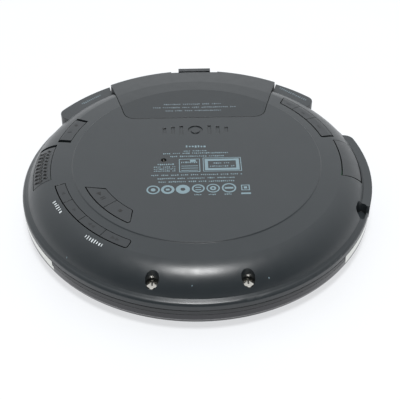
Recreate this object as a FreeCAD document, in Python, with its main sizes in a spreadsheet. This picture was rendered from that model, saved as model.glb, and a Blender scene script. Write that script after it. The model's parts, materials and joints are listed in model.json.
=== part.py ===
import FreeCAD, Part
import math
import os
import Sketcher

# A round portable disc player, lying on its lid with its underside up.
# +Z points out of the underside, +Y to the hinge at the rear, and the lid stands on z = 0.
# Angles run anticlockwise from +X, seen from above.

SIZES = (
    # overall
    ("case_radius", 67.8), ("case_top", 23.2), ("parting", 10.2), ("case_wall", 1.5),
    ("gap", 0.22), ("wide_gap", 0.45), ("run_gap", 0.05),
    # outline of the underside, from the middle to the rim
    ("step_radius", 47.6), ("step_width", 0.4), ("step_drop", 0.35),
    ("crest_radius", 55.5), ("crest_drop", 1.1), ("shoulder_bend", 14.5),
    ("foot_radius", "=case_radius - 2.1"), ("foot_height", 13.7), ("foot_width", 0.9), ("foot_drop", 0.6),
    ("lip_height", 12.0), ("lip_bend", 1.7),
    # jack blocks at the rear and the side ledge
    ("block_radius", "=case_radius + 2.0"), ("block_top", 17.4), ("block_corner", 4.0),
    ("left_block_end", 146.0), ("right_block_end", 41.0), ("block_door_end", 60.5),
    ("ledge_top", 15.6), ("ledge_start", -19.0), ("ledge_end", 21.0),
    # battery door and latch
    ("door_inner", 27.0), ("door_half_width", 28.0), ("door_flare", 0.257), ("door_corner", 5.0),
    ("door_wall", 1.0), ("rear_radius", "=case_radius + 0.2"), ("rear_edge", 20.4), ("rear_round", 1.6),
    ("door_foot", 12.2), ("rail_gap", 0.2), ("door_side_start", 52.0),
    ("latch_middle", 0.8), ("latch_width", 14.0), ("latch_notch", 20.5), ("latch_foot", 17.3),
    ("latch_depth", 1.6), ("latch_gap", 0.9),
    # lid
    ("lid_height", 10.0), ("lid_wall", 1.3), ("rim_wall", 1.2), ("bevel_height", 5.8),
    ("bevel_radius", "=case_radius - 6.8"), ("rim_inner", "=case_radius - 9.6"),
    ("window_radius", 26.0), ("window_wall", 1.0), ("pad_radius", 1.6), ("pad_height", 0.3),
    ("lip_strip_low", 8.1), ("lip_strip_start", -141.7), ("lip_strip_end", -39.7),
    # hinge
    ("hinge_rear", "=case_radius - 2.8"), ("hinge_height", 8.4), ("hinge_radius", 2.4), ("pin_radius", 1.0),
    ("ear_middle", 11.5), ("ear_width", 4.0), ("lug_width", 3.0), ("hinge_gap", 0.3),
    # deck
    ("deck_bottom", 5.6), ("deck_wall", 1.2), ("well_radius", "=case_radius - 6.0"), ("skirt_wall", 1.1),
    # keys
    ("key_travel", 0.6), ("key_foot", 19.6), ("key_lip", 0.7), ("key_lip_height", 0.5),
    ("strip_inner", 51.4), ("strip_outer", 54.9), ("strip_start", -165.1), ("strip_first", -154.1),
    ("strip_step", 12.13), ("end_round", 0.9),
    ("pair_inner", 38.5), ("pair_outer", 44.6), ("pair_split", -140.7), ("pair_start_out", -158.2),
    ("pair_start_in", -152.3), ("pair_end_out", -123.6), ("pair_end_in", -128.7),
    ("side_inner", 52.0), ("side_outer", 56.8), ("side_start", 15.0), ("side_first", 28.9),
    ("side_second", 38.9), ("side_end", 47.9), ("side_end_in", 45.8), ("side_free", 0.7),
    # sliders and rocker
    ("hold_inner", 51.2), ("hold_outer", 56.2), ("hold_start", 149.8), ("hold_end", 164.4),
    ("hold_free", 1.5), ("open_inner", 56.2), ("open_outer", 63.0), ("open_start", 169.4),
    ("open_end", 190.2), ("open_free", 1.4), ("rocker_inner", 56.1), ("rocker_outer", 63.5),
    ("rocker_start", -8.5), ("rocker_start_in", -11.2), ("rocker_end", 11.7),
    # screws in the underside
    ("bore_radius", 2.4), ("boss_radius", 3.8), ("left_screw_x", -16.8), ("left_screw_y", -60.2),
    ("right_screw_x", 15.8), ("right_screw_y", -60.4), ("screw_seat", 15.4), ("head_radius", 2.2),
    ("head_height", 1.7), ("shank_radius", 1.05), ("screw_tip", 7.2),
    ("pin_screw_x", -12.7), ("pin_screw_y", -1.0), ("pin_screw_radius", 0.95),
    # strap scoop
    ("strap_start", -22.4), ("strap_end", -19.8), ("strap_inner", "=case_radius - 4.5"),
    ("strap_outer", "=case_radius - 0.8"),
    ("strap_floor", 11.6),
    # sunk marks in the middle of the plateau
    ("mark_y", 18.2), ("mark_depth", 0.35), ("mark_radius", 3.0), ("mark_bar", 1.4),
    # battery bay for two AA cells side by side
    ("cell_radius", 7.25), ("cell_length", 50.5), ("cell_spare", 2.1), ("tray_wall", 0.6),
    ("tray_front", 27.2), ("tray_top", 19.6), ("tray_floor", 0.8),
    # sockets
    ("jack_height", 13.3), ("jack_size", 5.0), ("jack_width", 7.0), ("jack_back", "=case_radius - 10.3"),
    ("jack_bore", 1.8), ("jack_nose", 2.6), ("dc_bore", 2.05), ("dc_pin", 0.85),
    ("phones_angle", 128.5), ("line_angle", 139.5), ("dc_angle", 50.0),
    # drive
    ("plate_bottom", 8.4), ("plate_wall", 1.0), ("motor_radius", 11.0), ("motor_top", 15.2),
    ("shaft_radius", 0.75), ("hub_radius", 7.4), ("hub_tip", 2.0), ("disc_seat", 4.2),
    ("turntable_radius", 14.5), ("turntable_wall", 1.9), ("ball_radius", 1.05), ("ball_place", 6.35),
    ("lens_start", 24.0), ("lens_radius", 2.2), ("sled_half", 9.0), ("sled_front", 4.5),
    ("sled_rear", 13.5), ("sled_bottom", 10.2), ("sled_top", 15.0), ("rod_x", -12.5),
    ("rod_height", 12.7), ("rod_radius", 1.0), ("rod_front", 56.3), ("rod_rear", 11.0),
    ("rack_pitch_line", 15.0), ("rack_front", 23.5), ("rack_rear", 15.5), ("rack_top", 12.0),
    ("tooth_module", 1.0), ("feed_teeth", 12.0), ("wheel_module", 0.8), ("wheel_teeth", 24.0),
    ("pinion_teeth", 10.0), ("mesh_y", -20.0), ("wheel_bottom", 14.6), ("wheel_width", 1.2),
    ("pinion_angle", -40.0), ("axle_radius", 0.8), ("feed_motor_radius", 5.2),
    # board
    ("board_bottom", 17.4), ("board_wall", 1.0), ("board_radius", 58.0), ("board_rear", 25.6),
    ("mat_wall", 0.3), ("dome_radius", 1.6), ("dome_height", 0.55),
)

doc = FreeCAD.newDocument("disc_player")
sheet = doc.addObject("Spreadsheet::Sheet", "Sizes")
for row, (size_name, size_value) in enumerate(SIZES, start=1):
    sheet.set("A%d" % row, size_name)
    sheet.set("B%d" % row, str(size_value))
    sheet.setAlias("B%d" % row, size_name)
doc.recompute()


class Size:
    """A number with the sheet formula that gives it, so that sums of sizes stay bound."""

    def __init__(self, value, text):
        self.value = value
        self.text = text

    def __add__(self, other):
        return Size(self.value + number(other), "(%s + %s)" % (self.text, words(other)))

    def __radd__(self, other):
        return Size(number(other) + self.value, "(%s + %s)" % (words(other), self.text))

    def __sub__(self, other):
        return Size(self.value - number(other), "(%s - %s)" % (self.text, words(other)))

    def __rsub__(self, other):
        return Size(number(other) - self.value, "(%s - %s)" % (words(other), self.text))

    def __mul__(self, other):
        return Size(self.value * number(other), "(%s * %s)" % (self.text, words(other)))

    __rmul__ = __mul__

    def __truediv__(self, other):
        return Size(self.value / number(other), "(%s / %s)" % (self.text, words(other)))

    def __rtruediv__(self, other):
        return Size(number(other) / self.value, "(%s / %s)" % (words(other), self.text))

    def __neg__(self):
        return Size(-self.value, "(0 - %s)" % self.text)


class Sheet:
    """Reads a driving size from the spreadsheet by its name."""

    def __getattr__(self, name):
        return Size(float(sheet.get(name)), "Sizes.%s" % name)


s = Sheet()


def number(size):
    return size.value if isinstance(size, Size) else float(size)


def words(size):
    return size.text if isinstance(size, Size) else "%.9g" % size


def polar(radius, angle):
    """The point at this radius and angle in degrees, as bound x and y."""
    x = Size(math.cos(math.radians(number(angle))), "cos(%s)" % words(angle))
    y = Size(math.sin(math.radians(number(angle))), "sin(%s)" % words(angle))
    return x * radius, y * radius


def bind(thing, name, size):
    """Ties one property to the sheet."""
    thing.setExpression(name, words(size))


def place(thing, x=0.0, y=0.0, z=0.0, direction=(0, 0, 1)):
    """Puts a thing at a bound point, with its own Z axis along the direction."""
    turn = FreeCAD.Rotation(FreeCAD.Vector(0, 0, 1), FreeCAD.Vector(*direction))
    spot = FreeCAD.Vector(number(x), number(y), number(z))
    thing.Placement = FreeCAD.Placement(spot, turn)
    for axis, size in (("x", x), ("y", y), ("z", z)):
        bind(thing, "Placement.Base." + axis, size)
    return thing


def arc_between(start, end, radius):
    """The short arc between two points, bulging left of the way for a positive radius.

    It is always built anticlockwise, as a sketch keeps it."""
    chord = end - start
    sagitta = abs(radius) - math.sqrt(radius * radius - chord.Length ** 2 / 4.0)
    side = FreeCAD.Vector(-chord.y, chord.x, 0).normalize()
    middle = (start + end) * 0.5 + side * math.copysign(sagitta, radius)
    first, last = (end, start) if radius > 0 else (start, end)
    return Part.Arc(first, middle, last)


def draw(sketch, corners):
    """Draws a closed outline of (x, y) or (x, y, radius of the arc that arrives there)."""
    spots = [FreeCAD.Vector(number(c[0]), number(c[1]), 0) for c in corners]
    for index, corner in enumerate(corners):
        start = spots[index - 1]
        if len(corner) > 2:
            sketch.addGeometry(arc_between(start, spots[index], number(corner[2])), False)
        else:
            sketch.addGeometry(Part.LineSegment(start, spots[index]), False)
    last = len(corners) - 1
    ends = []
    for index, corner in enumerate(corners):
        curve = sketch.Geometry[index]
        forward = curve.EndPoint.distanceToPoint(spots[index]) < 1e-6
        ends.append((1, 2) if forward else (2, 1))
    for index, corner in enumerate(corners):
        after = 0 if index == last else index + 1
        sketch.addConstraint(Sketcher.Constraint("Coincident", index, ends[index][1],
                                                 after, ends[after][0]))
    for index, corner in enumerate(corners):
        for kind, size in (("DistanceX", corner[0]), ("DistanceY", corner[1])):
            fixed = Sketcher.Constraint(kind, index, ends[index][1], number(size))
            at = sketch.addConstraint(fixed)
            sketch.setExpression("Constraints[%d]" % at, words(size))
        if len(corner) > 2:
            rounding = Sketcher.Constraint("Radius", index, abs(number(corner[2])))
            at = sketch.addConstraint(rounding)
            sketch.setExpression("Constraints[%d]" % at, "abs(%s)" % words(corner[2]))


def sketch_on(body, role, corners, lift=0.0):
    """A sketch on one of the body's own planes, lifted along the plane's normal."""
    plane = [p for p in body.Origin.OriginFeatures if p.Role == role][0]
    sketch = body.newObject("Sketcher::SketchObject", body.Name + "_sketch")
    sketch.AttachmentSupport = [(plane, "")]
    sketch.MapMode = "FlatFace"
    bind(sketch, "AttachmentOffset.Base.z", lift)
    draw(sketch, corners)
    return sketch


def turned(name, corners):
    """A body turned about the Z axis from an outline of radius and height."""
    body = doc.addObject("PartDesign::Body", name)
    sketch = sketch_on(body, "XZ_Plane", corners)
    spin = body.newObject("PartDesign::Revolution", name + "_turn")
    spin.Profile = sketch
    spin.ReferenceAxis = (sketch, ["V_Axis"])
    spin.Angle = 360
    sketch.Visibility = False
    return body


def padded(name, corners, low, high):
    """A body with an outline in plan, from one height to another."""
    body = doc.addObject("PartDesign::Body", name)
    sketch = sketch_on(body, "XY_Plane", corners, low)
    pad = body.newObject("PartDesign::Pad", name + "_pad")
    pad.Profile = sketch
    bind(pad, "Length", sized((low, high)))
    return body


def ring_corners(inner, outer, start, end, inner_start=None, inner_end=None):
    """The outline of a piece of a ring, between two angles."""
    inner_start = start if inner_start is None else inner_start
    inner_end = end if inner_end is None else inner_end
    return [polar(inner, inner_start) + (inner,), polar(outer, start), polar(outer, end) + (-outer,),
            polar(inner, inner_end)]


def ring_piece(name, inner, outer, start, end, low, high, inner_start=None, inner_end=None):
    corners = ring_corners(inner, outer, start, end, inner_start, inner_end)
    return padded(name, corners, low, high)


def box(name, x, y, z):
    """A box from low and high values along each axis."""
    thing = doc.addObject("Part::Box", name)
    for prop, span in (("Length", x), ("Width", y), ("Height", z)):
        bind(thing, prop, sized(span))
    return place(thing, x[0], y[0], z[0])


def sized(span):
    low, high = span
    return Size(number(high) - number(low), "(%s - %s)" % (words(high), words(low)))


def rod(name, radius, length, x=0.0, y=0.0, z=0.0, direction=(0, 0, 1)):
    """A cylinder that starts at a point and runs along a direction."""
    thing = doc.addObject("Part::Cylinder", name)
    bind(thing, "Radius", radius)
    bind(thing, "Height", length)
    return place(thing, x, y, z, direction)


def ball(name, radius, x, y, z):
    thing = doc.addObject("Part::Sphere", name)
    bind(thing, "Radius", radius)
    return place(thing, x, y, z)


def fused(name, parts):
    thing = doc.addObject("Part::MultiFuse", name)
    thing.Shapes = parts
    return thing


def cut(name, base, tools):
    """A base with each tool taken away."""
    tool = tools[0] if len(tools) == 1 else fused(name + "_tools", tools)
    thing = doc.addObject("Part::Cut", name)
    thing.Base = base
    thing.Tool = tool
    return thing


def shared(name, first, second):
    """What two solids have in common."""
    thing = doc.addObject("Part::Common", name)
    thing.Base = first
    thing.Tool = second
    return thing


def rounded(name, base, spots, radius):
    """A base with its upright edges rounded where they stand at the given points."""
    doc.recompute()
    thing = doc.addObject("Part::Fillet", name)
    thing.Base = base
    picked = []
    for index, edge in enumerate(base.Shape.Edges, start=1):
        middle = edge.CenterOfMass
        upright = abs(edge.BoundBox.XLength) + abs(edge.BoundBox.YLength) < 1e-4
        near = [p for p in spots if math.hypot(middle.x - number(p[0]), middle.y - number(p[1])) < 0.05]
        if upright and near:
            picked.append((index, number(radius), number(radius)))
    thing.Edges = picked
    return thing


parts = {}


def keep(name, thing):
    """Names a finished piece; its label is its file's name."""
    thing.Label = name
    parts[name] = thing
    return thing


# Forms that the outer pieces are cut from

def underside_corners(inset):
    """Half the section of the underside; a positive inset gives the hollow inside it."""
    top = s.case_top - inset
    out = s.case_radius - inset
    bend = s.shoulder_bend - inset
    low = s.parting if number(inset) == 0 else s.parting - 2.0
    return [(0.0, low), (0.0, top), (s.step_radius - inset * 0.4, top),
            (s.step_radius + s.step_width - inset * 0.4, top - s.step_drop),
            (s.crest_radius - inset * 0.3, s.case_top - s.crest_drop - inset),
            (s.foot_radius - inset * 0.93, s.foot_height - inset * 0.35, bend),
            (s.foot_radius + s.foot_width - inset * 0.7, s.foot_height - s.foot_drop - inset * 0.5),
            (out, s.lip_height - inset * 0.5, s.lip_bend), (out, low)]


def rear_corners(inset):
    """Half the section through the battery door, which stays high out to the rear edge."""
    top = s.case_top - inset
    out = s.rear_radius - inset
    return [(0.0, s.parting - inset), (0.0, top), (s.step_radius - inset * 0.4, top),
            (s.step_radius + s.step_width - inset * 0.4, top - s.step_drop),
            (s.crest_radius - inset * 0.3, s.case_top - s.crest_drop - inset),
            (out - s.rear_round, s.rear_edge - inset),
            (out, s.rear_edge - s.rear_round - inset, s.rear_round),
            (out, s.parting - inset)]


def door_corners(grow):
    """The door's outline in plan: narrow in front, flaring to the rear, two rounded corners."""
    front = s.door_inner - grow
    half = s.door_half_width + grow
    reach = 48.0
    bend = s.door_corner + grow
    rear_half = half + s.door_flare * reach
    slip = bend * 0.87
    rise = bend * 0.78
    side_x = half + s.door_flare * rise
    side_y = front + rise * 1.06
    return [(half - slip, front), (side_x, side_y, -bend), (rear_half, front + reach),
            (-rear_half, front + reach), (-side_x, side_y), (-(half - slip), front, -bend)]


CLEAR = 30.0
TURN = 180.0 / math.pi    # a length over a radius, in degrees
base_form = turned("base_form", underside_corners(0.0))
hollow_form = turned("hollow_form", underside_corners(s.case_wall))
door_form = turned("door_form", rear_corners(0.0))
door_hollow = turned("door_hollow", rear_corners(s.door_wall))
rear_hollow = turned("rear_hollow", rear_corners(s.case_wall))


def block(name, start, end, corner, inset=0.0):
    """A jack block: a low flat-topped piece of ring outside the shoulder."""
    low = s.parting - 2.0 if number(inset) else s.parting
    raw = ring_piece(name + "_raw", s.strip_inner, s.block_radius - inset, start, end, low,
                     s.block_top - inset)
    return rounded(name, raw, [polar(s.block_radius - inset, corner)], s.block_corner - inset)


side_turn = s.case_wall / s.block_radius * TURN
left_block = block("left_block", 180.0 - s.block_door_end, s.left_block_end, s.left_block_end)
right_block = block("right_block", s.right_block_end, s.block_door_end, s.right_block_end)
left_hollow = block("left_hollow", 184.5 - s.block_door_end, s.left_block_end - side_turn,
                    s.left_block_end - side_turn, s.case_wall)
right_hollow = block("right_hollow", s.right_block_end + side_turn, s.block_door_end - 4.5,
                     s.right_block_end + side_turn, s.case_wall)
ledge = rounded("ledge", ring_piece("ledge_raw", s.strip_inner, s.case_radius + 0.15, s.ledge_start,
                                    s.ledge_end, s.parting, s.ledge_top),
                [polar(s.case_radius + 0.15, s.ledge_end)], s.block_corner)

door_room = padded("door_room", door_corners(0.0), s.parting, CLEAR)
rear_part = shared("rear_part", door_form, door_room)
outer_form = fused("outer_form", [base_form, left_block, right_block, ledge, rear_part])
rear_void = shared("rear_void", rear_hollow, padded("rear_room", door_corners(-s.case_wall),
                                                    s.parting - 2.0, CLEAR))
inner_form = fused("inner_form", [hollow_form, left_hollow, right_hollow, rear_void])
skin = cut("skin", outer_form, [inner_form])


# Keys, sliders and the rocker: pieces of the outer form over their own openings

def key(name, corners, lip_corners, soft_corners=()):
    """A key cap flush with the case, with a lip inside that keeps it from falling out."""
    room = padded(name + "_room", corners, s.key_foot, CLEAR)
    if soft_corners:
        room = rounded(name + "_soft", room, soft_corners, s.end_round)
    cap = shared(name + "_cap", outer_form, room)
    lip = padded(name + "_lip", lip_corners, s.key_foot, s.key_foot + s.key_lip_height)
    return keep(name, fused(name, [cap, lip]))


def row_key(name, inner, outer, start, end, lip_outer, soft_ends=(), end_in=None):
    """One key of a curved row; its lip reaches out only where the case is high enough."""
    side = s.gap * 0.5 / outer * TURN
    first = start + side
    last = end - side
    last_in = last if end_in is None else end_in - side
    corners = ring_corners(inner, outer, first, last, first, last_in)
    lip = ring_corners(inner - s.key_lip, outer + lip_outer, first, last, first, last_in)
    spots = {"start_in": (inner, first), "start_out": (outer, first),
             "end_in": (inner, last_in), "end_out": (outer, last)}
    return key(name, corners, lip, [polar(*spots[end]) for end in soft_ends])


strip_end = s.strip_first + s.strip_step * 3
row_key("album_down_key", s.strip_inner, s.strip_outer, s.strip_start, s.strip_first, s.key_lip)
row_key("album_up_key", s.strip_inner, s.strip_outer, s.strip_first,
        s.strip_first + s.strip_step, s.key_lip)
row_key("search_back_key", s.strip_inner, s.strip_outer, s.strip_first + s.strip_step,
        s.strip_first + s.strip_step * 2, s.key_lip)
row_key("search_forward_key", s.strip_inner, s.strip_outer, s.strip_first + s.strip_step * 2,
        strip_end, s.key_lip, ("end_in", "end_out"))
row_key("mode_key", s.side_inner, s.side_outer, s.side_start, s.side_first, 0.0, ("start_in",))
row_key("program_key", s.side_inner, s.side_outer, s.side_first, s.side_second, 0.0)
row_key("bass_key", s.side_inner, s.side_outer, s.side_second, s.side_end, 0.0, ("end_in",),
        s.side_end_in)


def pair_key(name, start_out, end_out, start_in, end_in, soft=()):
    """One key of the slanted pair; its lip follows the same angles."""
    corners = ring_corners(s.pair_inner, s.pair_outer, start_out, end_out, start_in, end_in)
    lip = ring_corners(s.pair_inner - s.key_lip, s.pair_outer + s.key_lip, start_out, end_out,
                       start_in, end_in)
    return key(name, corners, lip, soft)


pair_side = s.gap * 0.5 / s.pair_outer * TURN
pair_key("play_key", s.pair_start_out, s.pair_split - pair_side, s.pair_start_in,
         s.pair_split - pair_side)
pair_key("stop_key", s.pair_split + pair_side, s.pair_end_out, s.pair_split + pair_side,
         s.pair_end_in, [polar(s.pair_outer, s.pair_end_out), polar(s.pair_inner, s.pair_end_in)])


def slider(name, inner, outer, start, end, stem, start_in=None):
    """A thumb piece of the skin with a stem that reaches the switch inside."""
    room = ring_piece(name + "_room", inner, outer, start, end, s.parting, CLEAR, start_in)
    face = shared(name + "_face", skin, room)
    return keep(name, fused(name, [face, stem]))


hold_stem = ring_piece("hold_stem", s.hold_inner + 1.5, s.hold_inner + 3.5, s.hold_start + 6.0,
                       s.hold_end - 6.0, s.board_bottom + s.board_wall + 1.0, s.case_top - 1.9)
slider("hold_switch", s.hold_inner, s.hold_outer, s.hold_start, s.hold_end, hold_stem)
open_stem = ring_piece("open_stem", s.open_inner + 2.8, s.open_inner + 5.0, s.open_start + 8.0,
                       s.open_end - 8.0, s.parting + 2.4, s.case_top - 4.1)
slider("open_slider", s.open_inner, s.open_outer, s.open_start, s.open_end, open_stem)
rocker_stem = ring_piece("rocker_stem", s.board_radius + s.gap, s.board_radius + 2.0,
                         s.rocker_start + 9.5, s.rocker_end - 9.5, s.foot_height + 2.6,
                         s.case_top - 4.2)
slider("volume_rocker", s.rocker_inner, s.rocker_outer, s.rocker_start, s.rocker_end, rocker_stem,
       s.rocker_start_in)


# The bottom case

def opening(name, inner, outer, start, end, low=15.0, before=0.0, after=0.0, inside=s.gap,
            outside=s.gap, start_in=None, end_in=None, soft_ends=()):
    """Room for a piece of ring, larger by its gaps and by its free travel."""
    side = s.gap / outer * TURN
    first = start - side - before
    last = end + side + after
    first_in = first if start_in is None else start_in - side - before
    last_in = last if end_in is None else end_in + side + after
    room = ring_piece(name, inner - inside, outer + outside, first, last, low, CLEAR, first_in,
                      last_in)
    spots = {"start_in": (inner - inside, first_in), "start_out": (outer + outside, first),
             "end_in": (inner - inside, last_in), "end_out": (outer + outside, last)}
    if not soft_ends:
        return room
    corners = [polar(*spots[end]) for end in soft_ends]
    return rounded(name + "_soft", room, corners, s.end_round + s.gap)


def screw_boss(name, x, y):
    """A solid post up to the underside for a sunk screw."""
    return shared(name, outer_form, rod(name + "_post", s.boss_radius, 20.0, x, y, s.parting))


screw_places = ((s.left_screw_x, s.left_screw_y), (s.right_screw_x, s.right_screw_y))
bosses = []
for count, (px, py) in enumerate(screw_places):
    bosses.append(screw_boss("screw_boss_%d" % count, px, py))
strap_side = s.case_wall * 2 / s.strap_outer * TURN
strap_post = shared("strap_post", outer_form, ring_piece(
    "strap_post_room", s.strap_inner - s.case_wall, s.case_radius + 1.0,
    s.strap_start - strap_side, s.strap_end + strap_side, s.parting, CLEAR))
strap_middle = (s.strap_inner + s.strap_outer) * 0.5
strap_half = (s.strap_outer - s.strap_inner) * 0.5
strap_scoop = [ring_piece("strap_scoop", s.strap_inner, s.strap_outer, s.strap_start, s.strap_end,
                          s.strap_floor, CLEAR)]
for end, angle in (("start", s.strap_start), ("end", s.strap_end)):
    px, py = polar(strap_middle, angle)
    strap_scoop.append(rod("strap_scoop_" + end, strap_half, 20.0, px, py, s.strap_floor))
pin_post = rod("pin_post", 2.4, s.case_wall + 1.2, s.pin_screw_x, s.pin_screw_y,
               s.case_top - s.case_wall - 1.9)

lugs = []
for side in (-1, 1):
    for away in (-1, 1):
        middle = s.ear_middle * side + (s.ear_width + s.lug_width + s.hinge_gap * 2) * (0.5 * away)
        span = (middle - s.lug_width * 0.5, middle + s.lug_width * 0.5)
        lugs.append(rod("lug_%d_%d" % (side, away), s.hinge_radius, s.lug_width, span[0],
                        s.hinge_rear, s.hinge_height, (1, 0, 0)))
        lugs.append(box("lug_web_%d_%d" % (side, away), span,
                        (s.hinge_rear - s.hinge_radius, s.hinge_rear + s.hinge_radius),
                        (s.hinge_height, s.parting + 1.5)))

tools = [opening("strip_opening", s.strip_inner, s.strip_outer, s.strip_start, strip_end,
                 outside=s.wide_gap, soft_ends=("end_in", "end_out")),
         opening("side_opening", s.side_inner, s.side_outer, s.side_start, s.side_end,
                 before=s.side_free, inside=s.wide_gap, end_in=s.side_end_in,
                 soft_ends=("start_in", "end_in")),
         opening("hold_opening", s.hold_inner, s.hold_outer, s.hold_start, s.hold_end,
                 before=1.1, after=s.hold_free),
         opening("open_opening", s.open_inner, s.open_outer, s.open_start, s.open_end, 12.0,
                 before=s.open_free),
         opening("rocker_opening", s.rocker_inner, s.rocker_outer, s.rocker_start, s.rocker_end,
                 13.0, before=s.gap, inside=s.wide_gap, outside=s.wide_gap,
                 start_in=s.rocker_start_in),
         opening("pair_opening", s.pair_inner, s.pair_outer, s.pair_start_out, s.pair_end_out,
                 before=s.wide_gap, after=s.gap, outside=s.wide_gap, start_in=s.pair_start_in,
                 end_in=s.pair_end_in, soft_ends=("end_in", "end_out")),
         padded("door_opening", door_corners(s.gap), s.door_foot - s.rail_gap,
                CLEAR),
         rod("pin_bore", s.pin_screw_radius + 0.15, 20.0, s.pin_screw_x, s.pin_screw_y, 15.0)]
tools += strap_scoop
for count, (px, py) in enumerate(screw_places):
    tools.append(rod("screw_bore_%d" % count, s.bore_radius, 20.0, px, py, s.screw_seat))
    tools.append(rod("screw_hole_%d" % count, s.shank_radius + 0.2, 20.0, px, py, s.parting - 1))
for side in (-1, 1):
    start = s.ear_middle * side - s.ear_width * 0.5 - s.hinge_gap * 0.5
    tools.append(rod("ear_room_%d" % side, s.hinge_radius + s.hinge_gap,
                     s.ear_width + s.hinge_gap, start, s.hinge_rear, s.hinge_height, (1, 0, 0)))
tools.append(rod("pin_hole", s.pin_radius, s.ear_middle * 2 + 14.0, -(s.ear_middle + 7.0),
                 s.hinge_rear, s.hinge_height, (1, 0, 0)))


def radial(angle):
    turn = math.radians(number(angle))
    return (math.cos(turn), math.sin(turn), 0)


for jack_name, angle in (("phones", s.phones_angle), ("line", s.line_angle), ("dc", s.dc_angle)):
    jx, jy = polar(s.block_radius - 5.0, angle)
    tools.append(rod(jack_name + "_hole", s.jack_nose + 0.2, 8.0, jx, jy, s.jack_height,
                     radial(angle)))

# A sunk row of plain shapes in the middle of the plateau: three bars, a ring, three bars
mark_floor = s.case_top - s.mark_depth
for side in (-1, 1):
    for step in range(3):
        middle = side * (5.6 + step * 3.4)
        half_high = s.mark_radius - 0.6 * step
        tools.append(box("mark_bar_%d_%d" % (side, step),
                         (middle - s.mark_bar * 0.5, middle + s.mark_bar * 0.5),
                         (s.mark_y - half_high, s.mark_y + half_high),
                         (mark_floor, s.case_top + 1.0)))
tools.append(cut("mark_ring", rod("mark_ring_out", s.mark_radius, 2.0, 0.0, s.mark_y, mark_floor),
                 [rod("mark_ring_in", s.mark_radius - 1.2, 3.0, 0.0, s.mark_y,
                      mark_floor - 0.5)]))

case_solid = fused("case_solid", [skin] + bosses + [strap_post, pin_post] + lugs)
keep("bottom_case", cut("bottom_case", case_solid, tools))


# Battery door and its latch

latch_low = s.latch_middle - s.latch_notch * 0.5
latch_high = s.latch_middle + s.latch_notch * 0.5
latch_face = s.rear_radius - s.door_wall - s.latch_depth
door_solid = shared("door_solid", door_form, door_room)
door_shell = cut("door_shell", door_solid, [door_hollow])
door_sides = cut("door_sides", shared("door_side_solid", door_solid,
                                      box("door_side_room", (-60.0, 60.0),
                                          (s.door_side_start, 80.0), (0.0, 40.0))),
                 [padded("door_inside", door_corners(-s.door_wall), 0.0,
                         CLEAR)])
hooks = []
for side in (-1, 1):
    middle = s.door_half_width * 0.55 * side
    hooks.append(box("door_hook_%d" % side, (middle - 3.0, middle + 3.0),
                     (s.door_inner - 1.4, s.door_inner + 3.0),
                     (s.case_top - s.case_wall - 1.2, s.case_top - s.case_wall - 0.3)))
    hooks.append(box("door_hook_root_%d" % side, (middle - 3.0, middle + 3.0),
                     (s.door_inner + 1.2, s.door_inner + 3.0),
                     (s.case_top - s.case_wall - 1.2, s.case_top - s.door_wall + 0.2)))
door_whole = fused("door_whole", [door_shell, door_sides] + hooks)
keep("battery_door", cut("battery_door", door_whole, [
    box("door_trim", (-80.0, 80.0), (0.0, 90.0), (0.0, s.door_foot)),
    box("latch_notch_room", (latch_low, latch_high), (latch_face, 80.0), (s.latch_foot - 0.3, 40.0))]))

tab_low = s.latch_middle - s.latch_width * 0.5
tab_high = s.latch_middle + s.latch_width * 0.5
tab_face = latch_face + s.latch_gap
tab = box("latch_tab", (tab_low, tab_high), (tab_face, s.rear_radius + 0.4),
          (s.latch_foot, s.rear_edge + 0.2))
foot = box("latch_leg", (tab_low + 2.0, tab_high - 2.0), (tab_face - 1.1, tab_face + 0.1),
           (s.latch_foot - 3.0, s.latch_foot + 1.0))
keep("battery_latch", fused("battery_latch", [tab, foot]))


# The lid

strip_room = ring_piece("strip_room", s.case_radius - s.rim_wall - 0.3, s.case_radius + 2.0,
                        s.lip_strip_start, s.lip_strip_end, s.lip_strip_low, s.lid_height + 1.0)
notch_half = s.ear_middle + s.ear_width * 0.5 + s.lug_width + s.hinge_gap * 3
hinge_notch = box("hinge_notch", (-notch_half, notch_half), (s.hinge_rear - 4.4, 80.0),
                  (s.hinge_height - s.hinge_radius - 0.6, 20.0))
rim_turned = turned("rim_turned", [
    (s.rim_inner, 0.0), (s.bevel_radius, 0.0), (s.bevel_radius + 2.2, 0.9, 3.2),
    (s.case_radius - 0.9, s.bevel_height - 2.0), (s.case_radius, s.bevel_height, 3.0),
    (s.case_radius, s.lid_height), (s.case_radius - s.rim_wall, s.lid_height),
    (s.case_radius - s.rim_wall, s.bevel_height - 0.5),
    (s.bevel_radius + 0.8, s.rim_wall), (s.rim_inner, s.rim_wall)])
keep("lid_rim", cut("lid_rim", rim_turned, [strip_room, hinge_notch]))

shell_out = s.case_radius - s.rim_wall - 0.1
shell_in = shell_out - s.lid_wall
lip_low = s.window_wall + 0.1
keep("lid_plate", turned("lid_plate", [
    (s.window_radius - 2.0, lip_low), (s.window_radius + 0.2, lip_low),
    (s.window_radius + 0.2, 0.0), (s.rim_inner - 0.2, 0.0), (s.rim_inner - 0.2, s.lid_wall),
    (s.window_radius + 2.0, s.lid_wall), (s.window_radius + 2.0, lip_low + 0.7),
    (s.window_radius - 2.0, lip_low + 0.7)]))
frame_foot = s.rim_wall + s.lid_wall + 0.1
frame_turned = turned("frame_turned", [
    (s.rim_inner - 1.6, s.lid_wall), (s.bevel_radius + 0.7, s.lid_wall),
    (shell_out, s.bevel_height - 0.4), (shell_out, s.lid_height - 0.2),
    (shell_in, s.lid_height - 0.2), (shell_in, s.bevel_height + 0.2),
    (s.bevel_radius + 0.1, frame_foot), (s.rim_inner - 1.6, frame_foot)])
ears = []
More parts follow.
